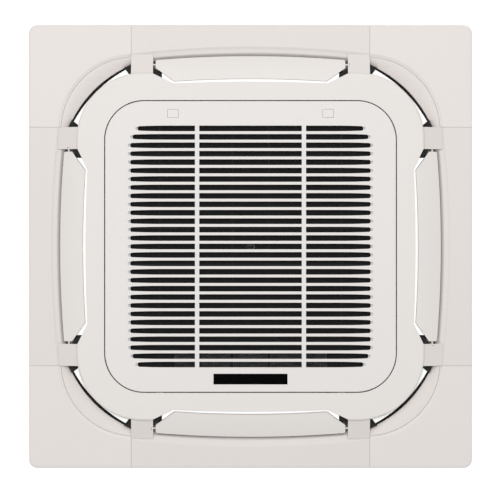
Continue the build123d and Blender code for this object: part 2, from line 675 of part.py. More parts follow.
def fascia_brackets():
    """Four steel tabs on the cabinet's cut corners that take the fascia bolts."""
    plane = Plane(origin=(CORNER_WALL, CORNER_WALL, 0), x_dir=(1, -1, 0), z_dir=(0, 0, 1))
    reach = (FIXING_XY - CORNER_WALL) * sqrt(2) + 14
    tab = extrude(plane * Pos(0, reach / 2) * Rectangle(TAB_WIDTH, reach), amount=HANGER_PLATE)
    leg = extrude(plane * Pos(0, HANGER_PLATE / 2) * Rectangle(TAB_WIDTH, HANGER_PLATE), amount=TAB_LEG)
    bracket = Pos(0, 0, CABINET_BOTTOM) * (tab + leg)
    bracket -= rod((FIXING_XY, FIXING_XY, 0), (0, 0, 1), 40, FIXING_RADIUS)
    return Compound(around(bracket))


def fascia_bolts():
    """Four bolts that pull the fascia up against the ceiling."""
    at = Pos(FIXING_XY, FIXING_XY)
    bottom = COVER_FLOOR - BOLT_HEAD_HEIGHT
    bolt = slab(at * Circle(BOLT_HEAD_RADIUS), bottom, COVER_FLOOR)
    bolt += slab(at * Circle(FIXING_RADIUS), COVER_FLOOR - 1, CABINET_BOTTOM + 13)
    length, width, depth = BOLT_CROSS
    recess = at * (Rectangle(length, width) + Rectangle(width, length))
    bolt -= slab(recess, bottom - 1, bottom + depth)
    return Compound(around(bolt))


# ---- intake grille ----
def row_half_width(row):
    from_end = min(row, SLOT_ROWS - 1 - row)
    return {0: SLOT_HALF_WIDTH_ROW1, 1: SLOT_HALF_WIDTH_ROW2}.get(from_end, SLOT_HALF_WIDTH)


def side_slot(half_width):
    """A slot from an upright bar outwards, narrowing in a long curve to a rounded end."""
    start = BAR_X + BAR_WIDTH / 2
    taper = half_width - SLOT_TAPER
    high, low = SLOT_HEIGHT / 2, SLOT_END_HEIGHT / 2
    middle = (half_width - SLOT_TAPER / 2, high - (high - low) / 4)
    upper = arc((taper, high), middle, (half_width, low))
    lower = mirror(upper, about=Plane.XZ)
    end = Line((half_width, low), (half_width, -low))
    near = Polyline((taper, high), (start, high), (start, -high), (taper, -high))
    outline = make_face([*upper.edges(), *end.edges(), *lower.edges(), *near.edges()])
    corners = outline.vertices().filter_by(lambda v: v.X > half_width - 1)
    return fillet(corners, SLOT_END_ROUND)


def slot_scoop(half_width):
    """The sloping scoop at a slot's outer end."""
    start = (half_width - SCOOP_RADIUS, 0, RING_FACE + SCOOP_DEPTH)
    return rod(start, (1, 0, -1), 4 * SCOOP_RADIUS, SCOOP_RADIUS)


def slot_cutters():
    """All the cutters of the grille's slots, row by row."""
    cutters = []
    for row in range(SLOT_ROWS):
        place = Pos(0, (row - (SLOT_ROWS - 1) / 2) * SLOT_PITCH)
        half_width = row_half_width(row)
        middle = slab(Rectangle(2 * BAR_X - BAR_WIDTH, SLOT_HEIGHT), RING_FACE - 1, 0)
        outer = slab(side_slot(half_width), RING_FACE - 1, 0)
        scoop = slot_scoop(half_width)
        for cutter in (middle, outer, mirror(outer, about=Plane.YZ), scoop, mirror(scoop, about=Plane.YZ)):
            cutters.append(place * cutter)
    return cutters


def hinge_hook():
    """The curved tongue at +X that carries the grille on its saddle."""
    reach = HOOK_OUTER * 2
    tip = (reach * cos(radians(HOOK_TIP_ANGLE)), reach * sin(radians(HOOK_TIP_ANGLE)))
    points = [(0, 0), tip, (-reach, tip[1]), (-reach, 0)]
    plane = Plane(origin=(HINGE_X - HOOK_WIDTH / 2, HINGE_Y, HINGE_Z), x_dir=(0, 1, 0), z_dir=(1, 0, 0))
    wedge = extrude(plane * Polygon(*points, align=None), amount=HOOK_WIDTH)
    return wedge & hinge_tube(HOOK_WIDTH / 2, HOOK_INNER, HOOK_OUTER)


def intake_grille():
    """The slotted intake grille: a shallow tray with a thick slatted field and two hinge hooks."""
    plate = slab(square(GRILLE_HALF, GRILLE_CORNER_RADIUS), RING_FACE, GRILLE_WALL_TOP)
    plate = fillet(plate.edges().group_by(Axis.Z)[0], GRILLE_EDGE_ROUND)
    inside = square(GRILLE_HALF - SKIN, GRILLE_CORNER_RADIUS - SKIN)
    field = square(SLATTED_HALF, SLATTED_CORNER)
    plate -= slab(inside - field, RING_FACE + SKIN, 0)
    plate -= slab(field, SLAT_TOP, 0)
    plate = plate - slot_cutters()
    edge = (GRILLE_HALF - SKIN - 1, GRILLE_HALF + 1)
    for sign in (-1, 1):
        plate -= block(centred(sign * HINGE_X, 2 * HINGE_HALF), edge, (RING_FACE + SKIN, 0))
        plate -= block(centred(sign * LATCH_X, LATCH_SIZE[0] + 2 * LATCH_GAP),
                       centred(LATCH_Y, LATCH_SIZE[1] + 2 * LATCH_GAP), (RING_FACE - 1, 0))
    plate -= block(centred(0, DISPLAY_SIZE[0]), centred(DISPLAY_Y, DISPLAY_SIZE[1]), (RING_FACE - 1, 0))
    return plate + hinge_hook() + mirror(hinge_hook(), about=Plane.YZ)


def grille_latch(sign):
    """A push latch: a flush button, its stem and the nose that reaches over the ledge."""
    x = sign * LATCH_X
    button = block(centred(x, LATCH_SIZE[0]), centred(LATCH_Y, LATCH_SIZE[1]), (RING_FACE, RING_FACE + 5))
    button = fillet(button.edges().group_by(Axis.Z)[0], 0.6)
    stem = block(centred(x, 10), (LATCH_Y - 3, LATCH_Y + 2), (RING_FACE + 4, LEDGE_FACE + 5))
    nose = block(centred(x, 10), (LATCH_Y - 5, LATCH_Y), (LEDGE_FACE + 3, LEDGE_FACE + 5))
    return button + stem + nose


def filter_mesh():
    """The filter's woven mesh, a thin sheet held in the frame's groove."""
    low = SLAT_TOP + FILTER_GROOVE
    return slab(square(FILTER_HALF - 3, FILTER_CORNER - 3), low, low + FILTER_SHEET)


def filter_frame():
    """The filter's plastic frame with its crossing ribs."""
    inner_half = FILTER_HALF - FILTER_RIM
    cell = 2 * inner_half / FILTER_CELLS
    inner = square(inner_half, FILTER_CORNER - FILTER_RIM)
    frame = slab(square(FILTER_HALF, FILTER_CORNER), SLAT_TOP, SLAT_TOP + FILTER_THICK)
    steps = [(k - (FILTER_CELLS - 1) / 2) * cell for k in range(FILTER_CELLS)]
    for x in steps:
        for y in steps:
            opening = Pos(x, y) * Rectangle(cell - FILTER_RIB, cell - FILTER_RIB) & inner
            frame -= slab(opening, SLAT_TOP - 1, SLAT_TOP + FILTER_THICK + 1)
    return frame - filter_mesh()


def display_window():
    """The glossy window in front of the receiver and lamps."""
    window = block(centred(0, DISPLAY_SIZE[0] - 0.4), centred(DISPLAY_Y, DISPLAY_SIZE[1] - 0.4),
                   (RING_FACE - 0.2, RING_FACE + SKIN))
    window = fillet(window.edges().group_by(Axis.Z)[0], 0.5)
    return window + block(centred(0, DISPLAY_SIZE[0] + 3), centred(DISPLAY_Y, DISPLAY_SIZE[1] + 3),
                          (RING_FACE + SKIN, RING_FACE + SKIN + 1))


def display_board():
    """The small board behind the window, with a receiver and a row of lamps."""
    low, high = RING_FACE + 5.4, RING_FACE + 7
    board = block(centred(0, 180), centred(DISPLAY_Y, 18), (low, high))
    board += block(centred(-58, 8), centred(DISPLAY_Y, 8), (low - 1.6, low))
    for k in range(DISPLAY_LAMPS):
        board += rod((-20 + 16 * k, DISPLAY_Y, low - 1.4), (0, 0, 1), 1.4, 1.5)
    for sign in (-1, 1):
        board += block(centred(sign * 86, 8), centred(DISPLAY_Y, 12), (RING_FACE + SKIN, low))
    return board


# ---- cabinet ----
def wall_holes():
    """Cutters through the walls and their lining, for the pipes, drain, cable and screws."""
    depth = SHEET + LINING + 2
    start = CABINET_HALF + 1 - depth
    pipes = block((start, CABINET_HALF + 1), PIPE_OPENING_Y, PIPE_OPENING_Z)
    drain = rod((DRAIN_PIPE[0], start, DRAIN_PIPE[1]), (0, 1, 0), depth, DRAIN_PIPE[2])
    cable = rod((GROMMET[0], start, GROMMET[1]), (0, 1, 0), depth, GROMMET_RADIUS)
    return [pipes, drain, cable, *hanger_screw_holes()]


def cabinet_shell():
    """The eight sheet steel wall panels, mitred where they meet."""
    outer, inner = octagon_points(0), octagon_points(SHEET)
    panels = []
    for k in range(8):
        after = (k + 1) % 8
        outline = Polygon(outer[k], outer[after], inner[after], inner[k], align=None)
        panels.append(slab(outline, CABINET_BOTTOM, CABINET_TOP) - wall_holes())
    return Compound(panels)


def top_plate():
    """The lid, folded over the walls, with pressed stiffening ribs."""
    plate = slab(shrunk_octagon(-SHEET), CABINET_TOP, CABINET_TOP + SHEET)
    plate += slab(shrunk_octagon(-SHEET) - shrunk_octagon(0), CABINET_TOP - LID_SKIRT, CABINET_TOP)
    pressed = (CABINET_TOP + SHEET / 2, CABINET_TOP + SHEET + LID_RIB_HEIGHT)
    rib = Pos(LID_RIB_CENTRE, 0) * SlotOverall(*LID_RIB)
    for k in range(8):
        plate += slab(turned(rib, 45 * k), *pressed)
    plate += slab(Circle(LID_RING[1]) - Circle(LID_RING[0]), *pressed)
    return plate


def wall_insulation():
    """Foam lining of the walls and lid, above the drain pan."""
    inner, outer = shrunk_octagon(SHEET + LINING), shrunk_octagon(SHEET)
    lining = slab(outer, PAN_TOP, CABINET_TOP) - slab(inner, PAN_TOP - 1, CABINET_TOP - LINING)
    lining -= slab(Circle(FOOT_CIRCLE + 16), PAN_TOP, CABINET_TOP + 1)
    return lining - wall_holes()


def hanging_brackets():
    """Four folded hangers on the cut corners, slotted for the ceiling rods."""
    wall = CORNER_WALL
    plane = Plane(origin=(wall, wall, 0), x_dir=(1, -1, 0), z_dir=(0, 0, 1))
    leg = extrude(plane * Pos(0, HANGER_PLATE / 2) * Rectangle(150, HANGER_PLATE), amount=60)
    tab_points = [(wall + 53, wall - 53), (wall + 67, wall - 39), (HANGER_X + 22, HANGER_Y + 14),
                  (HANGER_X - 18, HANGER_Y + 22), (wall + 6, wall + 6), (wall, wall)]
    tab = slab(Polygon(*tab_points, align=None), 0, HANGER_PLATE)
    tab -= slab(Pos(HANGER_X, HANGER_Y) * SlotOverall(*HANGER_SLOT), -1, 5)
    bracket = Pos(0, 0, HANGER_Z) * (leg + tab)
    for x, y, z in hanger_screw_points():
        bracket -= rod((x - 5, y - 5, z), (1, 1, 0), 20, SCREW_RADIUS)
    brackets = [bracket, mirror(bracket, about=Plane.YZ), mirror(bracket, about=Plane.XZ),
                turned(bracket, 180)]
    return Compound(brackets)


def hanger_screw_points():
    aside, low, high = HANGER_SCREWS
    return [(CORNER_WALL + side, CORNER_WALL - side, HANGER_Z + height)
            for side in (-aside, aside) for height in (low, high)]


def hanger_screw_holes():
    holes = []
    for x, y, z in hanger_screw_points():
        hole = rod((x - 12, y - 12, z), (1, 1, 0), 30, SCREW_RADIUS)
        holes += [hole, mirror(hole, about=Plane.YZ), mirror(hole, about=Plane.XZ), turned(hole, 180)]
    return holes


def pan_screw(start, direction, length=9.0):
    """A pan-headed screw whose head stands on a point and whose shank goes along a direction."""
    shank = rod(start, direction, length, SCREW_RADIUS)
    back = tuple(-value for value in direction)
    head = rod(start, back, SCREW_HEAD_HEIGHT, SCREW_HEAD_RADIUS)
    return shank + head


def case_screws():
    """All the pan-headed screws of the hangers, motor, bell mouth and electrical box."""
    screws = []
    lift = HANGER_PLATE / sqrt(2)
    for x, y, z in hanger_screw_points():
        screw = pan_screw((x + lift, y + lift, z), (-1 / sqrt(2), -1 / sqrt(2), 0))
        screws += [screw, mirror(screw, about=Plane.YZ), mirror(screw, about=Plane.XZ), turned(screw, 180)]
    for x, y in bell_screw_points():
        screws.append(pan_screw((x, y, BELL_Z), (0, 0, 1)))
    for x in (-EBOX_SCREW_X, EBOX_SCREW_X):
        screws.append(pan_screw((x, EBOX_MID_Y, EBOX_BOTTOM - SHEET), (0, 0, 1)))
    for k in range(MOTOR_FEET):
        angle = radians(120 * k)
        point = (FOOT_CIRCLE * cos(angle), FOOT_CIRCLE * sin(angle), FOOT_Z - 2)
        screws.append(pan_screw(point, (0, 0, 1), CABINET_TOP - point[2]))
    return Compound(screws)


def bell_screw_points():
    return [(x, y) for x in (-BELL_SCREW, BELL_SCREW) for y in (-BELL_SCREW, BELL_SCREW)]


def drain_pan():
    """The white foam pan: outlet ducts, a trough under the coil and a sump at the pump."""
    pan = slab(shrunk_octagon(SHEET + 0.3), CABINET_BOTTOM, PAN_TOP)
    pan -= slab(Circle(PAN_HOLE_RADIUS), CABINET_BOTTOM - 1, PAN_TOP + 1)
    pan -= slab(square(RETURN_HALF, RETURN_RADIUS), CABINET_BOTTOM - 1, BELL_Z + BELL_SKIN)
    for x, y in bell_screw_points():
        pan -= rod((x, y, BELL_Z), (0, 0, 1), 9, SCREW_RADIUS)
    trough = square(COIL_HALF + TROUGH_MARGIN, COIL_RADIUS + TROUGH_MARGIN)
    trough -= square(COIL_HALF - COIL_DEPTH - TROUGH_MARGIN, COIL_RADIUS - COIL_DEPTH)
    pan -= slab(trough, TROUGH_FLOOR, PAN_TOP + 1)
    pan -= slab(Pos(PUMP_XY, PUMP_XY) * Circle(SUMP_RADIUS), SUMP_FLOOR, PAN_TOP + 1)
    pan -= rod((PUMP_XY, PUMP_XY, 0), (0, 0, 1), SUMP_FLOOR + 1, PLUG_RADIUS)
    for duct in around(block((-PAN_DUCT_X, PAN_DUCT_X), PAN_DUCT_Y, (CABINET_BOTTOM - 1, PAN_TOP + 1))):
        pan -= duct
    slit = vent_slit(PAN_SLIT, PAN_SLIT_INNER)
    for gap in around(slab(slit, CABINET_BOTTOM - 1, PAN_TOP + 1)):
        pan -= gap
    return pan


def drain_plug():
    """The rubber plug in the pan's service hole."""
    plug = rod((PUMP_XY, PUMP_XY, CABINET_BOTTOM + 6), (0, 0, 1), 13, PLUG_RADIUS)
    return plug + rod((PUMP_XY, PUMP_XY, CABINET_BOTTOM + 2), (0, 0, 1), 4, 4)


def evaporator_fins():
    """The finned coil, wrapped round the fan and open at the pump corner."""
    outline = square(COIL_HALF, COIL_RADIUS) - square(COIL_HALF - COIL_DEPTH, COIL_RADIUS - COIL_DEPTH)
    size = COIL_HALF + 20 - COIL_END
    outline -= Pos(COIL_END + size / 2, COIL_END + size / 2) * Rectangle(size, size)
    return slab(outline, COIL_FOOT, COIL_TOP)


def evaporator_end_plates():
    """The tube plates at both ends of the coil."""
    across = (COIL_HALF - COIL_DEPTH, COIL_HALF)
    along = (COIL_END, COIL_END + TUBE_PLATE)
    height = (COIL_FOOT, COIL_TOP)
    return Compound([block(along, across, height), block(across, along, height)])


def evaporator_bends():
    """Copper return bends that join the coil's tubes in pairs at each end plate."""
    bends = []
    for k in range(TUBE_ROWS):
        centre = (COIL_END + TUBE_PLATE, COIL_HALF - COIL_DEPTH / 2, TUBE_BOTTOM + k * TUBE_PITCH)
        plane = Plane(origin=centre, x_dir=(0, 1, 0), z_dir=(1, 0, 0))
        section = plane * Pos(TUBE_GAP / 2, 0) * Circle(TUBE_RADIUS)
        loop = revolve(section, axis=Axis(centre, (0, 0, 1)), revolution_arc=-180)
        bends += [loop, mirror(loop, about=DIAGONAL)]
    return Compound(bends)


def coil_partition():
    """The sheet that closes the pump corner off from the fan."""
    near = COIL_HALF - COIL_DEPTH
    low, high = COIL_END + TUBE_PLATE, COIL_END + TUBE_PLATE + SHEET * sqrt(2)
    sheet = Polygon((low, near), (high, near), (near, high), (near, low), align=None)
    return slab(sheet, PAN_TOP, COIL_TOP)


# ---- fan and motor ----
def fan_motor():
    """The fan motor's housing, a bored can with three feet."""
    can = rod((0, 0, MOTOR_HOUSING_BOTTOM), (0, 0, 1), MOTOR_HOUSING_HEIGHT, MOTOR_HOUSING_RADIUS)
    can = fillet(can.edges().group_by(Axis.Z)[0], 8)
    for k in range(MOTOR_FEET):
        foot = block((40, FOOT_CIRCLE + 10), (-9, 9), (FOOT_Z, FOOT_Z + 3))
        foot -= rod((FOOT_CIRCLE, 0, FOOT_Z - 1), (0, 0, 1), 6, 5)
        can += turned(foot, 120 * k)
    bore = rod((0, 0, MOTOR_HOUSING_BOTTOM), (0, 0, 1), MOTOR_BORE_DEPTH, SHAFT_RADIUS + SHAFT_CLEARANCE)
    return can - bore


def motor_bushes():
    """Rubber bushes that hang the motor from the lid."""
    profile = [(2, FOOT_Z - 2), (8, FOOT_Z - 2), (8, FOOT_Z), (5, FOOT_Z), (5, FOOT_Z + 3), (8, FOOT_Z + 3),
               (8, CABINET_TOP), (2, CABINET_TOP)]
    bush = revolve(Plane.XZ * Polygon(*profile, align=None), axis=Axis.Z)
    places = [turned(Pos(FOOT_CIRCLE, 0, 0), 120 * k) for k in range(MOTOR_FEET)]
    return Compound([place * bush for place in places])


def motor_shaft():
    top = MOTOR_HOUSING_BOTTOM + 36
    return rod((0, 0, SHAFT_END), (0, 0, 1), top - SHAFT_END, SHAFT_RADIUS)


def fan_nut():
    """The hexagon nut that holds the fan on the shaft."""
    nut = slab(RegularPolygon(11, 6), HUB_BOTTOM - 9, HUB_BOTTOM)
    return nut - rod((0, 0, HUB_BOTTOM - 10), (0, 0, 1), 12, SHAFT_RADIUS)


def fan_blade():
    """One backward-curved blade, thickest in the middle."""
    outer, sweep = FAN_RADIUS - 2, radians(BLADE_SWEEP)
    tip = (outer * cos(sweep), -outer * sin(sweep))
    middle = ((BLADE_INNER + tip[0]) / 2, tip[1] / 2)
    along = (tip[0] - BLADE_INNER, tip[1])
    normal = (-along[1] / hypot(*along), along[0] / hypot(*along))
    sides = []
    for bow in (BLADE_BOW + BLADE_THICK / 2, BLADE_BOW - BLADE_THICK / 2):
        crown = (middle[0] + normal[0] * bow, middle[1] + normal[1] * bow)
        sides.append(arc((BLADE_INNER, 0), crown, tip))
    return make_face(sides)


def turbo_fan():
    """The moulded turbo fan: hub plate with its cone, and seven blades."""
    shelf, step = HUB_SHELF_Z, HUB_SHELF_Z + FAN_SKIN
    cone_start, cone_end = HUB_CONE
    profile = [(SHAFT_RADIUS, HUB_BOTTOM), (HUB_RADIUS, HUB_BOTTOM), (HUB_RADIUS, shelf),
               (cone_start, shelf), (cone_end, FAN_PLATE_Z), (FAN_RADIUS, FAN_PLATE_Z),
               (FAN_RADIUS, FAN_PLATE_Z + FAN_SKIN), (cone_end - 1, FAN_PLATE_Z + FAN_SKIN),
               (cone_start - 1, step), (HUB_RADIUS, step), (HUB_RADIUS, HUB_TOP), (SHAFT_RADIUS, HUB_TOP)]
    fan = revolve(Plane.XZ * Polygon(*profile, align=None), axis=Axis.Z)
    blade = slab(fan_blade(), BLADE_BOTTOM, FAN_PLATE_Z + 1) - below_shroud()
    for k in range(BLADES):
        fan += turned(blade, 360 / BLADES * k)
    return fan


def fan_shroud():
    """The fan's inlet ring, welded under the blades, with a sloping skirt out to their tips."""
    neck = FAN_INLET_RADIUS + FAN_SKIN
    profile = [(FAN_INLET_RADIUS, FAN_INLET_Z), (neck, FAN_INLET_Z), (neck, SHROUD_NECK_Z - 2),
               (FAN_RADIUS, SHROUD_EDGE_Z - 3), (FAN_RADIUS, SHROUD_EDGE_Z),
               (FAN_INLET_RADIUS, SHROUD_NECK_Z)]
    return revolve(Plane.XZ * Polygon(*profile, align=None), axis=Axis.Z)


def below_shroud():
    """The space from the shroud's upper side down, which the blades keep out of."""
    slope = (SHROUD_EDGE_Z - SHROUD_NECK_Z) / (FAN_RADIUS - FAN_INLET_RADIUS)
    reach = 20
    profile = [(FAN_INLET_RADIUS, FAN_INLET_Z), (FAN_RADIUS + reach, FAN_INLET_Z),
               (FAN_RADIUS + reach, SHROUD_EDGE_Z + reach * slope), (FAN_INLET_RADIUS, SHROUD_NECK_Z)]
    return revolve(Plane.XZ * Polygon(*profile, align=None), axis=Axis.Z)


def bell_plate():
    """The square plate below the fan that carries the bell mouth."""
    outline = square(RETURN_HALF - 1, RETURN_RADIUS - 1) - Circle(THROAT_RADIUS + BELL_FLARE)
    for x, y in bell_screw_points():
        outline -= Pos(x, y) * Circle(SCREW_RADIUS)
    return slab(outline, BELL_Z, BELL_Z + BELL_SKIN)


def bell_mouth():
    """The flared inlet throat, from the plate up into the fan's shroud."""
    t = BELL_SKIN
    low = (THROAT_RADIUS + BELL_FLARE, BELL_Z)
    turn = (THROAT_RADIUS, BELL_Z + BELL_FLARE)
    bulge = BELL_FLARE * (1 - 1 / sqrt(2))
    inner = arc(low, (THROAT_RADIUS + bulge, BELL_Z + bulge), turn)
    outer = arc((low[0], low[1] + t), (THROAT_RADIUS + bulge + t * 0.7, BELL_Z + bulge + t * 0.7),
                (turn[0] + t, turn[1]))
    rim = Polyline(turn, (turn[0], THROAT_TOP), (turn[0] + t, THROAT_TOP), (turn[0] + t, turn[1]))
    outline = [*inner.edges(), *rim.edges(), *outer.edges(), Line((low[0], low[1] + t), low)]
    return revolve(Plane.XZ * make_face(outline), axis=Axis.Z)


# ---- electrical box ----
def electrical_box():
    """A folded steel tray, open downwards, beside the bell mouth."""
    box = block((-EBOX_HALF_LENGTH, EBOX_HALF_LENGTH), EBOX_Y, (EBOX_BOTTOM, BELL_Z))
    inside_x = (SHEET - EBOX_HALF_LENGTH, EBOX_HALF_LENGTH - SHEET)
    box -= block(inside_x, (EBOX_Y[0] + SHEET, EBOX_Y[1] - SHEET), (EBOX_BOTTOM - 1, BELL_Z - SHEET))
    for x in (-EBOX_SCREW_X, EBOX_SCREW_X):
        box += rod((x, EBOX_MID_Y, EBOX_BOTTOM), (0, 0, 1), BELL_Z - EBOX_BOTTOM - SHEET, 4.5)
        box -= rod((x, EBOX_MID_Y, EBOX_BOTTOM - 1), (0, 0, 1), 12, SCREW_RADIUS)
    return box


def electrical_box_cover():
    cover = block((-EBOX_HALF_LENGTH, EBOX_HALF_LENGTH), EBOX_Y, (EBOX_BOTTOM - SHEET, EBOX_BOTTOM))
    for x in (-EBOX_SCREW_X, EBOX_SCREW_X):
        cover -= rod((x, EBOX_MID_Y, EBOX_BOTTOM - 3), (0, 0, 1), 6, SCREW_RADIUS)
    return cover


def control_board():
    """The control board with its relays, capacitor, chips and connectors."""
    back = BOARD_FACE + BOARD_THICK
    board = block(centred(0, BOARD_LENGTH), centred(EBOX_MID_Y, BOARD_WIDTH), (BOARD_FACE, back))
    board += rod((*CAPACITOR[:2], BOARD_FACE - CAPACITOR[3]), (0, 0, 1), CAPACITOR[3], CAPACITOR[2])
    for x, y, length, width, height in BOARD_BLOCKS:
        board += block(centred(x, length), centred(y, width), (BOARD_FACE - height, BOARD_FACE))
    for x, y in BOARD_POSTS:
        board += rod((x, y, back), (0, 0, 1), BELL_Z - SHEET - back, 3)
    return board


# ---- pump, pipes and cable inlet ----
def drain_pump():
    """The drain pump: motor, flange and the pump barrel, bored for its impeller."""
    at = Pos(PUMP_XY, PUMP_XY)
    flange = PUMP_FLANGE_TOP
    pump = slab(at * Circle(PUMP_MOTOR_RADIUS), flange, flange + PUMP_MOTOR_HEIGHT)
    pump += slab(at * Circle(PUMP_FLANGE_RADIUS), flange - PUMP_FLANGE_THICK, flange)
    pump += slab(at * Circle(PUMP_BARREL_RADIUS), PUMP_BARREL_BOTTOM, flange - PUMP_FLANGE_THICK)
    pump += rod((PUMP_XY, PUMP_XY, SPOUT_Z), SPOUT_WAY, SPOUT_LENGTH, SPOUT_RADIUS)
    pump -= rod((PUMP_XY, PUMP_XY, SPOUT_Z), SPOUT_WAY, SPOUT_LENGTH + 1, SPOUT_BORE)
    pump -= slab(at * Circle(PUMP_BARREL_BORE), PUMP_BARREL_BOTTOM - 1, PUMP_BORE_TOP)
    return pump - slab(at * Circle(IMPELLER_SHAFT + SHAFT_CLEARANCE), PUMP_BORE_TOP - 1, IMPELLER_Z[1] + 2)


def pump_bracket():
    """The hanger that carries the pump and the level switch from the lid."""
    outline = Polygon(*BRACKET_OUTLINE, align=None) - Pos(PUMP_XY, PUMP_XY) * Circle(PUMP_MOTOR_RADIUS + 0.5)
    plate = slab(outline, PUMP_FLANGE_TOP, PUMP_FLANGE_TOP + BRACKET_THICK)
    strap_y = (BRACKET_EDGE - BRACKET_THICK, BRACKET_EDGE)
    return plate + block(BRACKET_STRAP_X, strap_y, (PUMP_FLANGE_TOP, COIL_TOP))


def drain_hose():
    """The rubber hose from the pump's spout up to the condensate outlet."""
    reach = SPOUT_LENGTH / sqrt(2)
    x, z, _ = DRAIN_PIPE
    turn = PUMP_XY - x
    points = [(PUMP_XY - reach, PUMP_XY + reach, SPOUT_Z), (x, PUMP_XY + turn, SPOUT_Z),
              (x, PUMP_XY + turn, z), (x, COIL_HALF + 8, z)]
    path = FilletPolyline(*points, radius=13)
    start = Plane(origin=path @ 0, z_dir=path % 0)
    return sweep(start * (Circle(SPOUT_RADIUS) - Circle(SPOUT_BORE)), path=path)


def pump_impeller():
    """The pump's vaned spindle."""
    at = Pos(PUMP_XY, PUMP_XY)
    span, thick = IMPELLER_VANES
    vanes = at * (Rectangle(span, thick) + Rectangle(thick, span))
    return slab(at * Circle(IMPELLER_SHAFT), *IMPELLER_Z) + slab(vanes, *IMPELLER_VANES_Z)


def float_switch():
    """The level switch's stem and stops."""
    at = Pos(*FLOAT_POS)
    head_radius, head_height = FLOAT_HEAD
    head_bottom = PUMP_FLANGE_TOP - head_height
    switch = slab(at * Circle(FLOAT_STEM), FLOAT_STOPS[0][1], head_bottom)
    switch += slab(at * Circle(head_radius), head_bottom, PUMP_FLANGE_TOP)
    for low, high in FLOAT_STOPS:
        switch += slab(at * Circle(FLOAT_STOP_RADIUS), low, high)
    return switch


def float_ball():
    """The float that rides up the stem as the pan fills."""
    at = Pos(*FLOAT_POS)
    body = slab(at * Circle(FLOAT_RADIUS), *FLOAT_Z)
    body = fillet(body.edges().filter_by(GeomType.CIRCLE), 2)
    return body - slab(at * Circle(FLOAT_STEM + FLOAT_FIT), FLOAT_Z[0] - 1, FLOAT_Z[1] + 1)


def refrigerant_pipe(y, z, radius, _):
    """A refrigerant pipe from the coil corner out through the +X wall."""
    wall = 1.0
    start = COIL_HALF + 8
    length = PIPE_END - NUT_MOUTH - start
    tube = rod((start, y, z), (1, 0, 0), length, radius)
    return tube - rod((start - 1, y, z), (1, 0, 0), length + 2, radius - wall)


def flare_nut(y, z, radius, thread):
    """A brass flare nut on the end of a refrigerant pipe, its threaded mouth facing out."""
    start = PIPE_END - NUT_LENGTH
    plane = Plane(origin=(start, y, z), x_dir=(0, 1, 0), z_dir=(1, 0, 0))
    nut = extrude(plane * RegularPolygon(thread * NUT_RATIO, 6), amount=NUT_LENGTH)
    nut -= rod((start - 1, y, z), (1, 0, 0), NUT_LENGTH, radius)
    return nut - rod((PIPE_END - NUT_MOUTH, y, z), (1, 0, 0), NUT_MOUTH + 1, thread)


def flare_nuts():
    return Compound([flare_nut(*GAS_PIPE), flare_nut(*LIQUID_PIPE)])


def pipe_cover_plate():
    """The plate that closes the pipe opening round both pipes."""
    low_y, high_y = PIPE_OPENING_Y
    low_z, high_z = PIPE_OPENING_Z
    x = (CABINET_HALF, CABINET_HALF + SHEET)
    plate = block(x, (low_y - 10, high_y + 8), (low_z - 10, high_z + 10))
    for y, z, radius, _ in (GAS_PIPE, LIQUID_PIPE):
        plate += rod((CABINET_HALF, y, z), (1, 0, 0), 7, radius + 5)
        plate -= rod((CABINET_HALF - 2, y, z), (1, 0, 0), 12, radius)
    return plate


def drain_pipe():
    """The condensate outlet, from the pump corner out through the +Y wall."""
    x, z, radius = DRAIN_PIPE
    start = COIL_HALF + 8
    tube = rod((x, start, z), (0, 1, 0), PIPE_END - start, radius)
    tube += rod((x, CABINET_HALF, z), (0, 1, 0), 3, radius + 9)
    tube -= rod((x, start - 1, z), (0, 1, 0), PIPE_END - start, SPOUT_BORE)
    return tube - rod((x, start + SKIN, z), (0, 1, 0), PIPE_END - start, radius - SKIN)


def cable_grommet():
    """The rubber grommet of the power and control cables' inlet."""
    x, z = GROMMET
    start = CABINET_HALF - SHEET - LINING
    grommet = rod((x, start, z), (0, 1, 0), SHEET + LINING + 4, GROMMET_RADIUS)
    grommet += rod((x, CABINET_HALF, z), (0, 1, 0), 4, GROMMET_RADIUS + 5)
    return grommet - rod((x, start - 1, z), (0, 1, 0), 40, GROMMET_BORE)


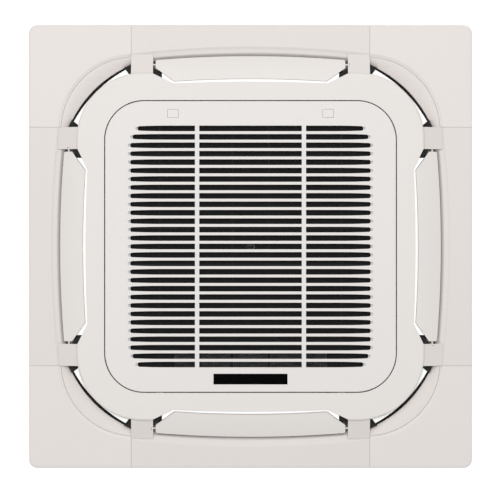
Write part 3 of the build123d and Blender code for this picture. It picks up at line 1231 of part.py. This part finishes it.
PARTS = {
    "cabinet_shell": cabinet_shell,
    "top_plate": top_plate,
    "wall_insulation": wall_insulation,
    "hanging_brackets": hanging_brackets,
    "case_screws": case_screws,
    "drain_pan": drain_pan,
    "drain_plug": drain_plug,
    "evaporator_fins": evaporator_fins,
    "evaporator_end_plates": evaporator_end_plates,
    "evaporator_bends": evaporator_bends,
    "coil_partition": coil_partition,
    "fan_motor": fan_motor,
    "motor_bushes": motor_bushes,
    "motor_shaft": motor_shaft,
    "fan_nut": fan_nut,
    "turbo_fan": turbo_fan,
    "fan_shroud": fan_shroud,
    "bell_plate": bell_plate,
    "bell_mouth": bell_mouth,
    "electrical_box": electrical_box,
    "electrical_box_cover": electrical_box_cover,
    "control_board": control_board,
    "drain_pump": drain_pump,
    "pump_impeller": pump_impeller,
    "pump_bracket": pump_bracket,
    "drain_hose": drain_hose,
    "float_switch": float_switch,
    "float_ball": float_ball,
    "gas_pipe": partial(refrigerant_pipe, *GAS_PIPE),
    "liquid_pipe": partial(refrigerant_pipe, *LIQUID_PIPE),
    "flare_nuts": flare_nuts,
    "pipe_cover_plate": pipe_cover_plate,
    "drain_pipe": drain_pipe,
    "cable_grommet": cable_grommet,
    "fascia_frame": fascia_frame,
    "fascia_ring": fascia_ring,
    "fascia_seal": fascia_seal,
    "fascia_brackets": fascia_brackets,
    "fascia_bolts": fascia_bolts,
    "slot_liners": slot_liners,
    "foam_pads": foam_pads,
    "vent_liners": vent_liners,
    "louvre_motors": louvre_motors,
    "louvre_bushes": louvre_bushes,
    "intake_grille": intake_grille,
    "grille_latch_left": partial(grille_latch, -1),
    "grille_latch_right": partial(grille_latch, 1),
    "filter_frame": filter_frame,
    "filter_mesh": filter_mesh,
    "display_window": display_window,
    "display_board": display_board,
}
for side, turn in SIDES.items():
    PARTS[f"louvre_{side}"] = partial(louvre, turn)
for corner, turn in CORNERS.items():
    PARTS[f"corner_cover_{corner}"] = partial(corner_cover, turn)

for name, make in PARTS.items():
    export_step(make(), f"parts/{name}.step")
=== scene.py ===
"""Looks of a four-way ceiling cassette air conditioner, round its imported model.

Metres, +Z up. The fascia faces down, so the photo's camera looks straight up from below,
with the photo's right at +X and its top at -Y.
"""
import json
import math

import bmesh
import bpy
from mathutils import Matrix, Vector


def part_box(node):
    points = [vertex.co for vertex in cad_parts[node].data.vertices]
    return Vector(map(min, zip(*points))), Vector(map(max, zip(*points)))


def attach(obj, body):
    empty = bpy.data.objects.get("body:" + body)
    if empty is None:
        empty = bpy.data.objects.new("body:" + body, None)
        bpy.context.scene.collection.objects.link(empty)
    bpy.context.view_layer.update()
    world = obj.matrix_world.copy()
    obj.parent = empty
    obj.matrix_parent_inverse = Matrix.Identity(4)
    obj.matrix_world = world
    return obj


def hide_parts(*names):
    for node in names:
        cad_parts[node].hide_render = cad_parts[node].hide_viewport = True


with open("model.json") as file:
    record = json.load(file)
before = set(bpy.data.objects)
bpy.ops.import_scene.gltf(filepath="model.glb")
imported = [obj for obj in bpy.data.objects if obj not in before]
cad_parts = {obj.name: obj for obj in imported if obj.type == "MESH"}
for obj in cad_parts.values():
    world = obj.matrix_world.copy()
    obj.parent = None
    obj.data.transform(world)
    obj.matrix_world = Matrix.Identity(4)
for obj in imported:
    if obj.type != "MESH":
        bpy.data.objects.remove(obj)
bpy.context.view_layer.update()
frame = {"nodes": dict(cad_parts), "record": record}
NODES = frame["nodes"]

# ---- the photo's framing ----
PHOTO_PIXELS = 500
FASCIA_WIDTH = 0.950
FASCIA_PIXELS = 443.2         # mean of the fascia's width and height in the photo
FASCIA_CENTRE_PX = (250.5, 246.5)
FASCIA_FACE_Z = -0.018
CAMERA_DISTANCE = 4.0
CAMERA_REACH = 100.0
SENSOR = 36.0                 # millimetres
METRES_PER_PIXEL = FASCIA_WIDTH / FASCIA_PIXELS

# ---- studio ----
FLOOR_Z = -6.5
FLOOR_HALF = 40.0
FLOOR_DARK = (0.60, 0.60, 0.60)
FLOOR_LIGHT = (0.63, 0.63, 0.63)
KEY_PLACE = (-0.3, -1.6, -5.2)
KEY_TARGET = (0, 0, 0)
KEY_SIZE = 4.0
KEY_POWER = 170.0
TOP_PLACE = (1.8, -2.6, 3.4)
TOP_TARGET = (0, 0, 0.2)
TOP_SIZE = 2.0
TOP_POWER = 80.0
WORLD_STRENGTH = 1.1
SKY_LOW = (0.78, 0.78, 0.78, 1)
SKY_HIGH = (1.0, 1.0, 1.0, 1)
SKY_HIGH_FROM = 0.6           # upward part of the direction from which the sky is all white

# ---- plastics of the fascia: a screen colour, and how much darker the surface itself is ----
FRAME_WHITE = (234, 227, 223)
RING_WHITE = (234, 229, 225)
GRILLE_WHITE = (234, 230, 227)
FRAME_SHADE = 0.765
RING_SHADE = 0.795
COVER_PAINTED_LIGHT = 1.035           # of the frame's white; a lighter copy, painted light for the brighter light on the corners

# ---- moulded plastic ----
# seam colour: dust together with painted shade, laid on where ambient occlusion finds seams and
# inner corners
SEAM_DUST_AND_SHADE = (0.55, 0.47, 0.41)
SEAM_DUST_AND_SHADE_SCALE = 0.6
SEAM_CLEAN_SHARE = 0.80         # share of the clean colour in a seam's dust and painted shade
SEAM_REACH = 0.006
MOULDED_EDGE = 0.0006
MOULDED_GRAIN = 0.00003
PLASTIC_IOR = 1.49
SHADER_SAMPLES = 6

# ---- sockets of the colour Mix node ----
MIX_SHARE = 0
MIX_FIRST = 6
MIX_SECOND = 7
MIX_RESULT = 2

# ---- finned coil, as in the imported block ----
COIL_HALF = 0.350
COIL_DEPTH = 0.048
COIL_RADIUS = 0.110
COIL_END = 0.190
FIN_PITCH = 0.0028
FIN_THICKNESS = 0.00025
TUBE_RADIUS = 0.004
TUBE_ROW_OFFSET = 0.012
TUBE_FIRST_Z = 0.056
TUBE_PITCH_Z = 0.021
TUBES_PER_ROW = 8
TUBE_SIDES = 8
TUBE_STEP = 0.012

# ---- filter net ----
NET_PITCH = 0.0022
NET_THREAD = 0.0013
NET_CORNER = 0.037


# ---- materials ----
class Nodes:
    """Short ways to add and link the nodes of one material."""

    def __init__(self, name):
        self.material = bpy.data.materials.new(name)
        self.material.use_nodes = True
        self.tree = self.material.node_tree
        self.shader = self.tree.nodes["Principled BSDF"]
        self.place = self.add("ShaderNodeTexCoord").outputs["Object"]

    def add(self, kind, **settings):
        node = self.tree.nodes.new(kind)
        for key, value in settings.items():
            setattr(node, key, value)
        return node

    def link(self, output, socket):
        self.tree.links.new(output, socket)

    def stretched(self, scale):
        """Object coordinates scaled along each axis."""
        mapping = self.add("ShaderNodeMapping")
        mapping.inputs["Scale"].default_value = scale
        self.link(self.place, mapping.inputs["Vector"])
        return mapping.outputs["Vector"]

    def noise(self, scale, detail=3.0, roughness=0.5, where=None):
        node = self.add("ShaderNodeTexNoise")
        node.inputs["Scale"].default_value = scale
        node.inputs["Detail"].default_value = detail
        node.inputs["Roughness"].default_value = roughness
        self.link(where or self.place, node.inputs["Vector"])
        return node.outputs["Fac"]

    def cells(self, scale, feature="F1", output="Distance"):
        node = self.add("ShaderNodeTexVoronoi", feature=feature)
        node.inputs["Scale"].default_value = scale
        self.link(self.place, node.inputs["Vector"])
        return node.outputs[output]

    def ranged(self, value, low, high, start=0.0, end=1.0):
        """A value from start to end, brought to the range from low to high."""
        node = self.add("ShaderNodeMapRange")
        node.inputs["From Min"].default_value = start
        node.inputs["From Max"].default_value = end
        node.inputs["To Min"].default_value = low
        node.inputs["To Max"].default_value = high
        self.link(value, node.inputs["Value"])
        return node.outputs["Result"]

    def mixed(self, share, first, second):
        """A colour between two, each a colour or a socket."""
        node = self.add("ShaderNodeMix", data_type="RGBA")
        for key, value in ((MIX_FIRST, first), (MIX_SECOND, second)):
            if isinstance(value, tuple):
                node.inputs[key].default_value = (*value, 1.0)
            else:
                self.link(value, node.inputs[key])
        if isinstance(share, float):
            node.inputs[MIX_SHARE].default_value = share
        else:
            self.link(share, node.inputs[MIX_SHARE])
        return node.outputs[MIX_RESULT]

    def crevice_shade(self, distance):
        """Ambient occlusion: 1 in the open and towards 0 in seams and inner corners, where shade
        falls.
        """
        node = self.add("ShaderNodeAmbientOcclusion", samples=SHADER_SAMPLES)
        node.inputs["Distance"].default_value = distance
        return node.outputs["AO"]

    def soft_edges(self, radius):
        node = self.add("ShaderNodeBevel", samples=SHADER_SAMPLES)
        node.inputs["Radius"].default_value = radius
        return node.outputs["Normal"]

    def bumped(self, height, distance, normal=None):
        node = self.add("ShaderNodeBump")
        node.inputs["Distance"].default_value = distance
        node.inputs["Strength"].default_value = 1.0
        self.link(height, node.inputs["Height"])
        if normal is not None:
            self.link(normal, node.inputs["Normal"])
        return node.outputs["Normal"]

    def set(self, **values):
        """Numbers and colours on the shader's own sockets."""
        for key, value in values.items():
            socket = self.shader.inputs[key.replace("_", " ").title().replace("Ior", "IOR")]
            socket.default_value = (*value, 1.0) if isinstance(value, tuple) else value

    def feed(self, **values):
        """Sockets into the shader's inputs."""
        for key, value in values.items():
            self.link(value, self.shader.inputs[key.replace("_", " ").title()])


def shade(colour, factor):
    return tuple(channel * factor for channel in colour)


def linear(red, green, blue):
    """A screen colour, 0 to 255, as the linear colour that shaders take."""
    values = (red / 255, green / 255, blue / 255)
    return tuple(v / 12.92 if v <= 0.04045 else ((v + 0.055) / 1.055) ** 2.4 for v in values)


def moulded(name, colour, roughness=0.46, seam_dust_and_shade=0.22, mottle=0.006, gloss=0.5):
    """Moulded plastic: fine spark-eroded grain, faint flow mottling, and dust with painted shade
    in its seams.
    """
    n = Nodes(name)
    flow = n.noise(3.0, detail=1.0)
    clean = n.mixed(flow, shade(colour, 1 - mottle), shade(colour, 1 + mottle))
    dust_and_shade = n.mixed(SEAM_CLEAN_SHARE, shade(SEAM_DUST_AND_SHADE, SEAM_DUST_AND_SHADE_SCALE), clean)
    # painted shade and dust: seams and inner corners darkened towards the seam colour by ambient
    # occlusion
    shaded = n.mixed(n.ranged(n.crevice_shade(SEAM_REACH), seam_dust_and_shade, 1.0, 0.25, 0.9), dust_and_shade, clean)
    texture = n.noise(1400.0, detail=2.0, roughness=0.6)
    n.feed(base_color=shaded,
           roughness=n.ranged(n.noise(60.0), roughness - 0.05, roughness + 0.05),
           normal=n.bumped(texture, MOULDED_GRAIN, n.soft_edges(MOULDED_EDGE)))
    n.set(ior=PLASTIC_IOR, specular_ior_level=gloss)
    return n.material


def glossy(name, colour):
    """Dark, smooth plastic, coated against reflections, with faint wiping marks."""
    n = Nodes(name)
    wipe = n.noise(90.0, detail=5.0, where=n.stretched((1.0, 7.0, 1.0)))
    n.feed(base_color=n.mixed(n.ranged(wipe, 0.0, 0.5, 0.45, 0.75), colour, shade(colour, 2.2)),
           roughness=n.ranged(wipe, 0.07, 0.17, 0.4, 0.7),
           normal=n.bumped(n.noise(25.0, detail=1.0), 0.00004, n.soft_edges(0.0005)))
    n.set(specular_ior_level=0.02)
    return n.material


def beaded_foam(name, colour):
    """Expanded foam: packed beads with fine dark joints between them."""
    n = Nodes(name)
    joints = n.cells(330.0, feature="DISTANCE_TO_EDGE")
    tone = n.noise(40.0, detail=3.0)
    bead = n.mixed(tone, shade(colour, 0.98), shade(colour, 1.01))
    joint_share = n.ranged(joints, 0.0, 1.0, 0.0, 0.12)
    n.feed(base_color=n.mixed(joint_share, shade(colour, 0.90), bead),
           roughness=n.ranged(tone, 0.78, 0.92),
           normal=n.bumped(n.ranged(joints, 0.0, 1.0, 0.0, 0.3), 0.00035, n.soft_edges(0.0008)))
    return n.material


def soft_foam(name, colour, pore=900.0):
    """Open-cell foam: a rough, pitted skin, with painted shade darkening its pits."""
    n = Nodes(name)
    pits = n.cells(pore)
    lumps = n.noise(70.0, detail=5.0, roughness=0.65)
    # painted shade: the pits are coloured darker than the skin around them
    pit_shade_share = n.ranged(pits, 0.0, 1.0, 0.1, 0.6)
    n.feed(base_color=n.mixed(pit_shade_share, shade(colour, 0.55), shade(colour, 1.25)),
           roughness=n.ranged(lumps, 0.85, 1.0),
           normal=n.bumped(pits, 0.0006, n.bumped(lumps, 0.0008)))
    return n.material


def galvanised(name, colour):
    """Zinc-coated sheet: crystal spangles, rolling streaks and a soft sheen."""
    n = Nodes(name)
    spangle = n.add("ShaderNodeSeparateColor")
    n.link(n.cells(75.0, output="Color"), spangle.inputs["Color"])
    flake = spangle.outputs["Red"]
    streak = n.noise(30.0, detail=4.0, where=n.stretched((0.4, 9.0, 9.0)))
    base = n.mixed(flake, shade(colour, 0.86), shade(colour, 1.08))
    stained = n.mixed(n.ranged(streak, 0.0, 0.25, 0.45, 0.8), base, shade(colour, 0.62))
    n.feed(base_color=stained, roughness=n.ranged(flake, 0.34, 0.52),
           normal=n.bumped(streak, 0.00006, n.soft_edges(0.0006)))
    n.set(metallic=0.9)
    return n.material


def machined(name, colour, roughness, streaks=(1.0, 1.0, 14.0)):
    """Turned or drawn metal with fine tool marks and slight tarnish."""
    n = Nodes(name)
    marks = n.noise(420.0, detail=3.0, where=n.stretched(streaks))
    tarnish = n.noise(45.0, detail=5.0, roughness=0.6)
    tarnish_share = n.ranged(tarnish, 0.0, 0.6, 0.45, 0.75)
    n.feed(base_color=n.mixed(tarnish_share, colour, shade(colour, 0.6)),
           roughness=n.ranged(tarnish, roughness, roughness + 0.16),
           normal=n.bumped(marks, 0.00003, n.soft_edges(0.0004)))
    n.set(metallic=1.0)
    return n.material


def painted(name, colour):
    """Sprayed paint with a faint orange peel and an uneven tone."""
    n = Nodes(name)
    peel = n.noise(260.0, detail=2.0)
    tone = n.noise(20.0, detail=4.0)
    n.feed(base_color=n.mixed(tone, shade(colour, 0.9), shade(colour, 1.1)),
           roughness=n.ranged(tone, 0.30, 0.43),
           normal=n.bumped(peel, 0.00012, n.soft_edges(0.0007)))
    return n.material


def rubbery(name, colour):
    """Moulded rubber with a dusty bloom."""
    n = Nodes(name)
    bloom = n.noise(55.0, detail=6.0, roughness=0.65)
    bloom_share = n.ranged(bloom, 0.0, 0.5, 0.4, 0.75)
    n.feed(base_color=n.mixed(bloom_share, colour, (0.15, 0.15, 0.15)),
           roughness=n.ranged(bloom, 0.6, 0.85),
           normal=n.bumped(n.noise(800.0), 0.00008, n.soft_edges(0.0006)))
    return n.material


def circuit_board(name, colour):
    """Lacquered board with tracks in square steps and tinned pads."""
    n = Nodes(name)
    track = n.add("ShaderNodeTexBrick", offset=0.37, squash=0.6)
    track.inputs["Scale"].default_value = 120.0
    track.inputs["Mortar Size"].default_value = 0.03
    n.link(n.place, track.inputs["Vector"])
    pads = n.ranged(n.cells(260.0), 1.0, 0.0, 0.12, 0.2)
    lines = n.mixed(track.outputs["Fac"], colour, shade(colour, 1.8))
    n.feed(base_color=n.mixed(pads, lines, (0.55, 0.55, 0.52)),
           roughness=n.ranged(pads, 0.25, 0.35),
           normal=n.bumped(track.outputs["Fac"], 0.00006))
    return n.material


def netting(name, colour):
    """Thin plastic thread with a dull sheen."""
    n = Nodes(name)
    fluff = n.noise(400.0, detail=4.0)
    n.feed(base_color=n.mixed(fluff, shade(colour, 0.6), shade(colour, 1.6)),
           roughness=n.ranged(fluff, 0.5, 0.75), normal=n.bumped(fluff, 0.0001))
    n.set(specular_ior_level=0.10)
    return n.material


def make_materials():
    """One material for each of the record's slots."""
    frame_white = shade(linear(*FRAME_WHITE), FRAME_SHADE)
    ring_white = shade(linear(*RING_WHITE), RING_SHADE)
    grille_white = shade(linear(*GRILLE_WHITE), RING_SHADE)
    return {
        "fascia_plastic": moulded("fascia_plastic", frame_white),
        "ring_plastic": moulded("ring_plastic", ring_white),
        # painted light: the corner covers get a lighter copy of the frame's white
        "cover_plastic": moulded("cover_plastic", shade(frame_white, COVER_PAINTED_LIGHT)),
        "louvre_plastic": moulded("louvre_plastic", ring_white),
        "grille_plastic": moulded("grille_plastic", grille_white),
        "latch_plastic": moulded("latch_plastic", grille_white, seam_dust_and_shade=1.0),
        "display_black": glossy("display_black", (0.0012, 0.0012, 0.0013)),
        "filter_plastic": moulded("filter_plastic", (0.010, 0.010, 0.011),
                                  seam_dust_and_shade=0.9, mottle=0.2, gloss=0.12),
        "filter_net": netting("filter_net", (0.008, 0.008, 0.009)),
        "white_foam": beaded_foam("white_foam", (0.98, 0.98, 0.97)),
        "black_foam": soft_foam("black_foam", (0.012, 0.012, 0.012)),
        "lining_foam": soft_foam("lining_foam", (0.11, 0.11, 0.115), pore=600.0),
        "galvanised_steel": galvanised("galvanised_steel", (0.60, 0.62, 0.64)),
        "plated_steel": machined("plated_steel", (0.66, 0.65, 0.60), 0.24),
        "fin_aluminium": machined("fin_aluminium", (0.78, 0.79, 0.80), 0.28),
        "copper": machined("copper", (0.72, 0.30, 0.17), 0.26),
        "nut_brass": machined("nut_brass", (0.76, 0.55, 0.22), 0.24, streaks=(14.0, 1.0, 1.0)),
        "fan_plastic": moulded("fan_plastic", (0.045, 0.047, 0.05),
                               roughness=0.5, seam_dust_and_shade=0.6, mottle=0.05),
        "bell_plastic": moulded("bell_plastic", (0.035, 0.036, 0.038), seam_dust_and_shade=0.6, mottle=0.05),
        "motor_paint": painted("motor_paint", (0.018, 0.018, 0.02)),
        "motor_can": machined("motor_can", (0.58, 0.59, 0.60), 0.3),
        "black_rubber": rubbery("black_rubber", (0.012, 0.012, 0.012)),
        "bush_plastic": moulded("bush_plastic", (0.72, 0.70, 0.64), roughness=0.35),
        "pump_plastic": moulded("pump_plastic", (0.70, 0.70, 0.67), roughness=0.38),
        "float_plastic": moulded("float_plastic", (0.55, 0.09, 0.05), roughness=0.38),
        "board_green": circuit_board("board_green", (0.012, 0.085, 0.035)),
        "pipe_plastic": moulded("pipe_plastic", (0.52, 0.53, 0.52), roughness=0.35),
        "plate_paint": painted("plate_paint", (0.50, 0.51, 0.52)),
    }


def finish_piece(piece, material, body):
    piece.data.materials.append(material)
    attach(piece, body)


def dress_nodes(materials):
    """Gives every carried-over node the material of its slot in the record."""
    for row in frame["record"]["subparts"]:
        node = NODES[row["node"]]
        material = materials[row["material_slot"]]
        if node.material_slots:
            for slot in node.material_slots:
                slot.material = material
        else:
            node.data.materials.append(material)


# ---- meshes ----
def new_piece(name, mesh_builder):
    """A new object whose mesh a function fills in through bmesh."""
    mesh = bpy.data.meshes.new(name)
    piece = bpy.data.objects.new(name, mesh)
    bpy.context.scene.collection.objects.link(piece)
    shape = bmesh.new()
    mesh_builder(shape)
    bmesh.ops.recalc_face_normals(shape, faces=shape.faces)
    shape.to_mesh(mesh)
    shape.free()
    return piece


def join_rings(shape, before, after):
    """Side faces between two rings with the same number of corners."""
    count = len(before)
    for k in range(count):
        following = (k + 1) % count
        shape.faces.new((before[k], before[following], after[following], after[k]))


def add_bar(shape, corners_low, corners_high):
    """A closed bar between two rings of corners."""
    low = [shape.verts.new(point) for point in corners_low]
    high = [shape.verts.new(point) for point in corners_high]
    shape.faces.new(low)
    shape.faces.new(reversed(high))
    join_rings(shape, low, high)


def coil_path(step):
    """Points and outward normals along the coil's middle, from its +Y end round to its +X end."""
    middle = COIL_HALF - COIL_DEPTH / 2
    arc_radius = COIL_RADIUS - COIL_DEPTH / 2
    straight = COIL_HALF - COIL_RADIUS
    places = []

    def walk(start, end, normal):
        length = (end - start).length
        count = round(length / step)
        for k in range(count):
            places.append((start.lerp(end, (k + 0.5) / count), normal))

    def bend(centre, first_angle):
        count = round(arc_radius * math.pi / 2 / step)
        for k in range(count):
            angle = first_angle + math.pi / 2 * (k + 0.5) / count
            normal = Vector((math.cos(angle), math.sin(angle), 0))
            places.append((centre + normal * arc_radius, normal))

    walk(Vector((COIL_END, middle, 0)), Vector((-straight, middle, 0)), Vector((0, 1, 0)))
    bend(Vector((-straight, straight, 0)), math.pi / 2)
    walk(Vector((-middle, straight, 0)), Vector((-middle, -straight, 0)), Vector((-1, 0, 0)))
    bend(Vector((-straight, -straight, 0)), math.pi)
    walk(Vector((-straight, -middle, 0)), Vector((straight, -middle, 0)), Vector((0, -1, 0)))
    bend(Vector((straight, -straight, 0)), math.pi * 1.5)
    walk(Vector((middle, -straight, 0)), Vector((middle, COIL_END, 0)), Vector((1, 0, 0)))
    return places


def fill_fins(shape):
    """One thin upright sheet at each step along the coil."""
    low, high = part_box("evaporator_fins")
    reach = COIL_DEPTH / 2
    for place, normal in coil_path(FIN_PITCH):
        along = Vector((-normal.y, normal.x, 0)) * FIN_THICKNESS / 2
        ring = [place - normal * reach - along, place + normal * reach - along,
                place + normal * reach + along, place - normal * reach + along]
        add_bar(shape, [(p.x, p.y, low.z) for p in ring], [(p.x, p.y, high.z) for p in ring])


def fill_tubes(shape):
    """The copper tubes through the fins, in two rows."""
    places = coil_path(TUBE_STEP)
    for row in (-1, 1):
        for tube in range(TUBES_PER_ROW):
            z = TUBE_FIRST_Z + tube * TUBE_PITCH_Z
            rings = []
            for place, normal in places:
                centre = place + normal * TUBE_ROW_OFFSET * row + Vector((0, 0, z))
                ring = []
                for k in range(TUBE_SIDES):
                    angle = 2 * math.pi * k / TUBE_SIDES
                    across = normal * math.cos(angle) + Vector((0, 0, math.sin(angle)))
                    ring.append(shape.verts.new(centre + across * TUBE_RADIUS))
                rings.append(ring)
            for before, after in zip(rings, rings[1:]):
                join_rings(shape, before, after)
            shape.faces.new(rings[0])
            shape.faces.new(reversed(rings[-1]))


def build_coil(materials):
    fins = new_piece("coil_fins", fill_fins)
    finish_piece(fins, materials["fin_aluminium"], "cassette")
    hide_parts("evaporator_fins")
    tubes = new_piece("coil_tubes", fill_tubes)
    finish_piece(tubes, materials["copper"], "cassette")


def fill_net(shape):
    """Threads of the filter net in two crossing layers, cut to its rounded outline."""
    low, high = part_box("filter_mesh")
    centre = (low + high) / 2
    half = (high.x - low.x) / 2
    middle = (low.z + high.z) / 2
    thread_half = NET_THREAD / 2
    count = int(2 * half / NET_PITCH)
    for k in range(count):
        offset = (k - (count - 1) / 2) * NET_PITCH
        past_corner = max(0.0, abs(offset) - (half - NET_CORNER))
        reach = half - NET_CORNER + math.sqrt(max(NET_CORNER**2 - past_corner**2, 0.0))
        for across in (0, 1):
            bottom = middle - thread_half if across else middle
            top = middle if across else middle + thread_half
            ring = [(-thread_half, bottom), (thread_half, bottom), (thread_half, top),
                    (-thread_half, top)]
            ends = []
            for end in (-reach, reach):
                if across:
                    ends.append([(centre.x + offset + w, centre.y + end, z) for w, z in ring])
                else:
                    ends.append([(centre.x + end, centre.y + offset + w, z) for w, z in ring])
            add_bar(shape, *ends)


def build_net(materials):
    net = new_piece("filter_net", fill_net)
    finish_piece(net, materials["filter_net"], "grille")
    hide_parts("filter_mesh")


# ---- studio ----
def add_light(name, place, size, power, target):
    data = bpy.data.lights.new(name, "AREA")
    data.shape = "SQUARE"
    data.size = size
    data.energy = power
    light = bpy.data.objects.new(name, data)
    light.location = place
    towards = Vector(target) - Vector(place)
    light.rotation_euler = towards.to_track_quat("-Z", "Y").to_euler()
    light.visible_camera = False
    bpy.context.scene.collection.objects.link(light)


def floor_material():
    n = Nodes("studio_floor")
    tone = n.noise(0.6, detail=3.0)
    n.feed(base_color=n.mixed(tone, FLOOR_DARK, FLOOR_LIGHT))
    n.set(roughness=0.8)
    return n.material


def build_floor():
    def fill(shape):
        corners = [(-FLOOR_HALF, -FLOOR_HALF), (FLOOR_HALF, -FLOOR_HALF),
                   (FLOOR_HALF, FLOOR_HALF), (-FLOOR_HALF, FLOOR_HALF)]
        shape.faces.new([shape.verts.new((x, y, FLOOR_Z)) for x, y in corners])

    floor = new_piece("studio_floor", fill)
    floor.data.materials.append(floor_material())


def build_world():
    """A pale sky, white overhead, a little darker at the horizon and below it."""
    world = bpy.data.worlds.new("studio")
    bpy.context.scene.world = world
    world.use_nodes = True
    tree = world.node_tree
    place = tree.nodes.new("ShaderNodeTexCoord")
    split = tree.nodes.new("ShaderNodeSeparateXYZ")
    ramp = tree.nodes.new("ShaderNodeValToRGB")
    low, high = ramp.color_ramp.elements
    low.position = 0.0
    low.color = SKY_LOW
    high.position = SKY_HIGH_FROM
    high.color = SKY_HIGH
    tree.links.new(place.outputs["Generated"], split.inputs["Vector"])
    tree.links.new(split.outputs["Z"], ramp.inputs["Fac"])
    tree.links.new(ramp.outputs["Color"], tree.nodes["Background"].inputs["Color"])
    tree.nodes["Background"].inputs["Strength"].default_value = WORLD_STRENGTH


def build_camera():
    """Straight up from below, at the photo's scale and place."""
    data = bpy.data.cameras.new("camera")
    data.sensor_width = SENSOR
    data.lens = SENSOR * CAMERA_DISTANCE / (METRES_PER_PIXEL * PHOTO_PIXELS)
    data.clip_end = CAMERA_REACH
    camera = bpy.data.objects.new("camera", data)
    offset_x = (PHOTO_PIXELS / 2 - FASCIA_CENTRE_PX[0]) * METRES_PER_PIXEL
    offset_y = (PHOTO_PIXELS / 2 - FASCIA_CENTRE_PX[1]) * METRES_PER_PIXEL
    camera.location = (offset_x, offset_y, FASCIA_FACE_Z - CAMERA_DISTANCE)
    camera.rotation_euler = (math.pi, 0, 0)
    bpy.context.scene.collection.objects.link(camera)
    bpy.context.scene.camera = camera


bpy.context.scene.view_settings.view_transform = "Standard"
materials = make_materials()
dress_nodes(materials)
build_coil(materials)
build_net(materials)
build_world()
build_floor()
add_light("key", KEY_PLACE, KEY_SIZE, KEY_POWER, KEY_TARGET)
add_light("top", TOP_PLACE, TOP_SIZE, TOP_POWER, TOP_TARGET)
build_camera()
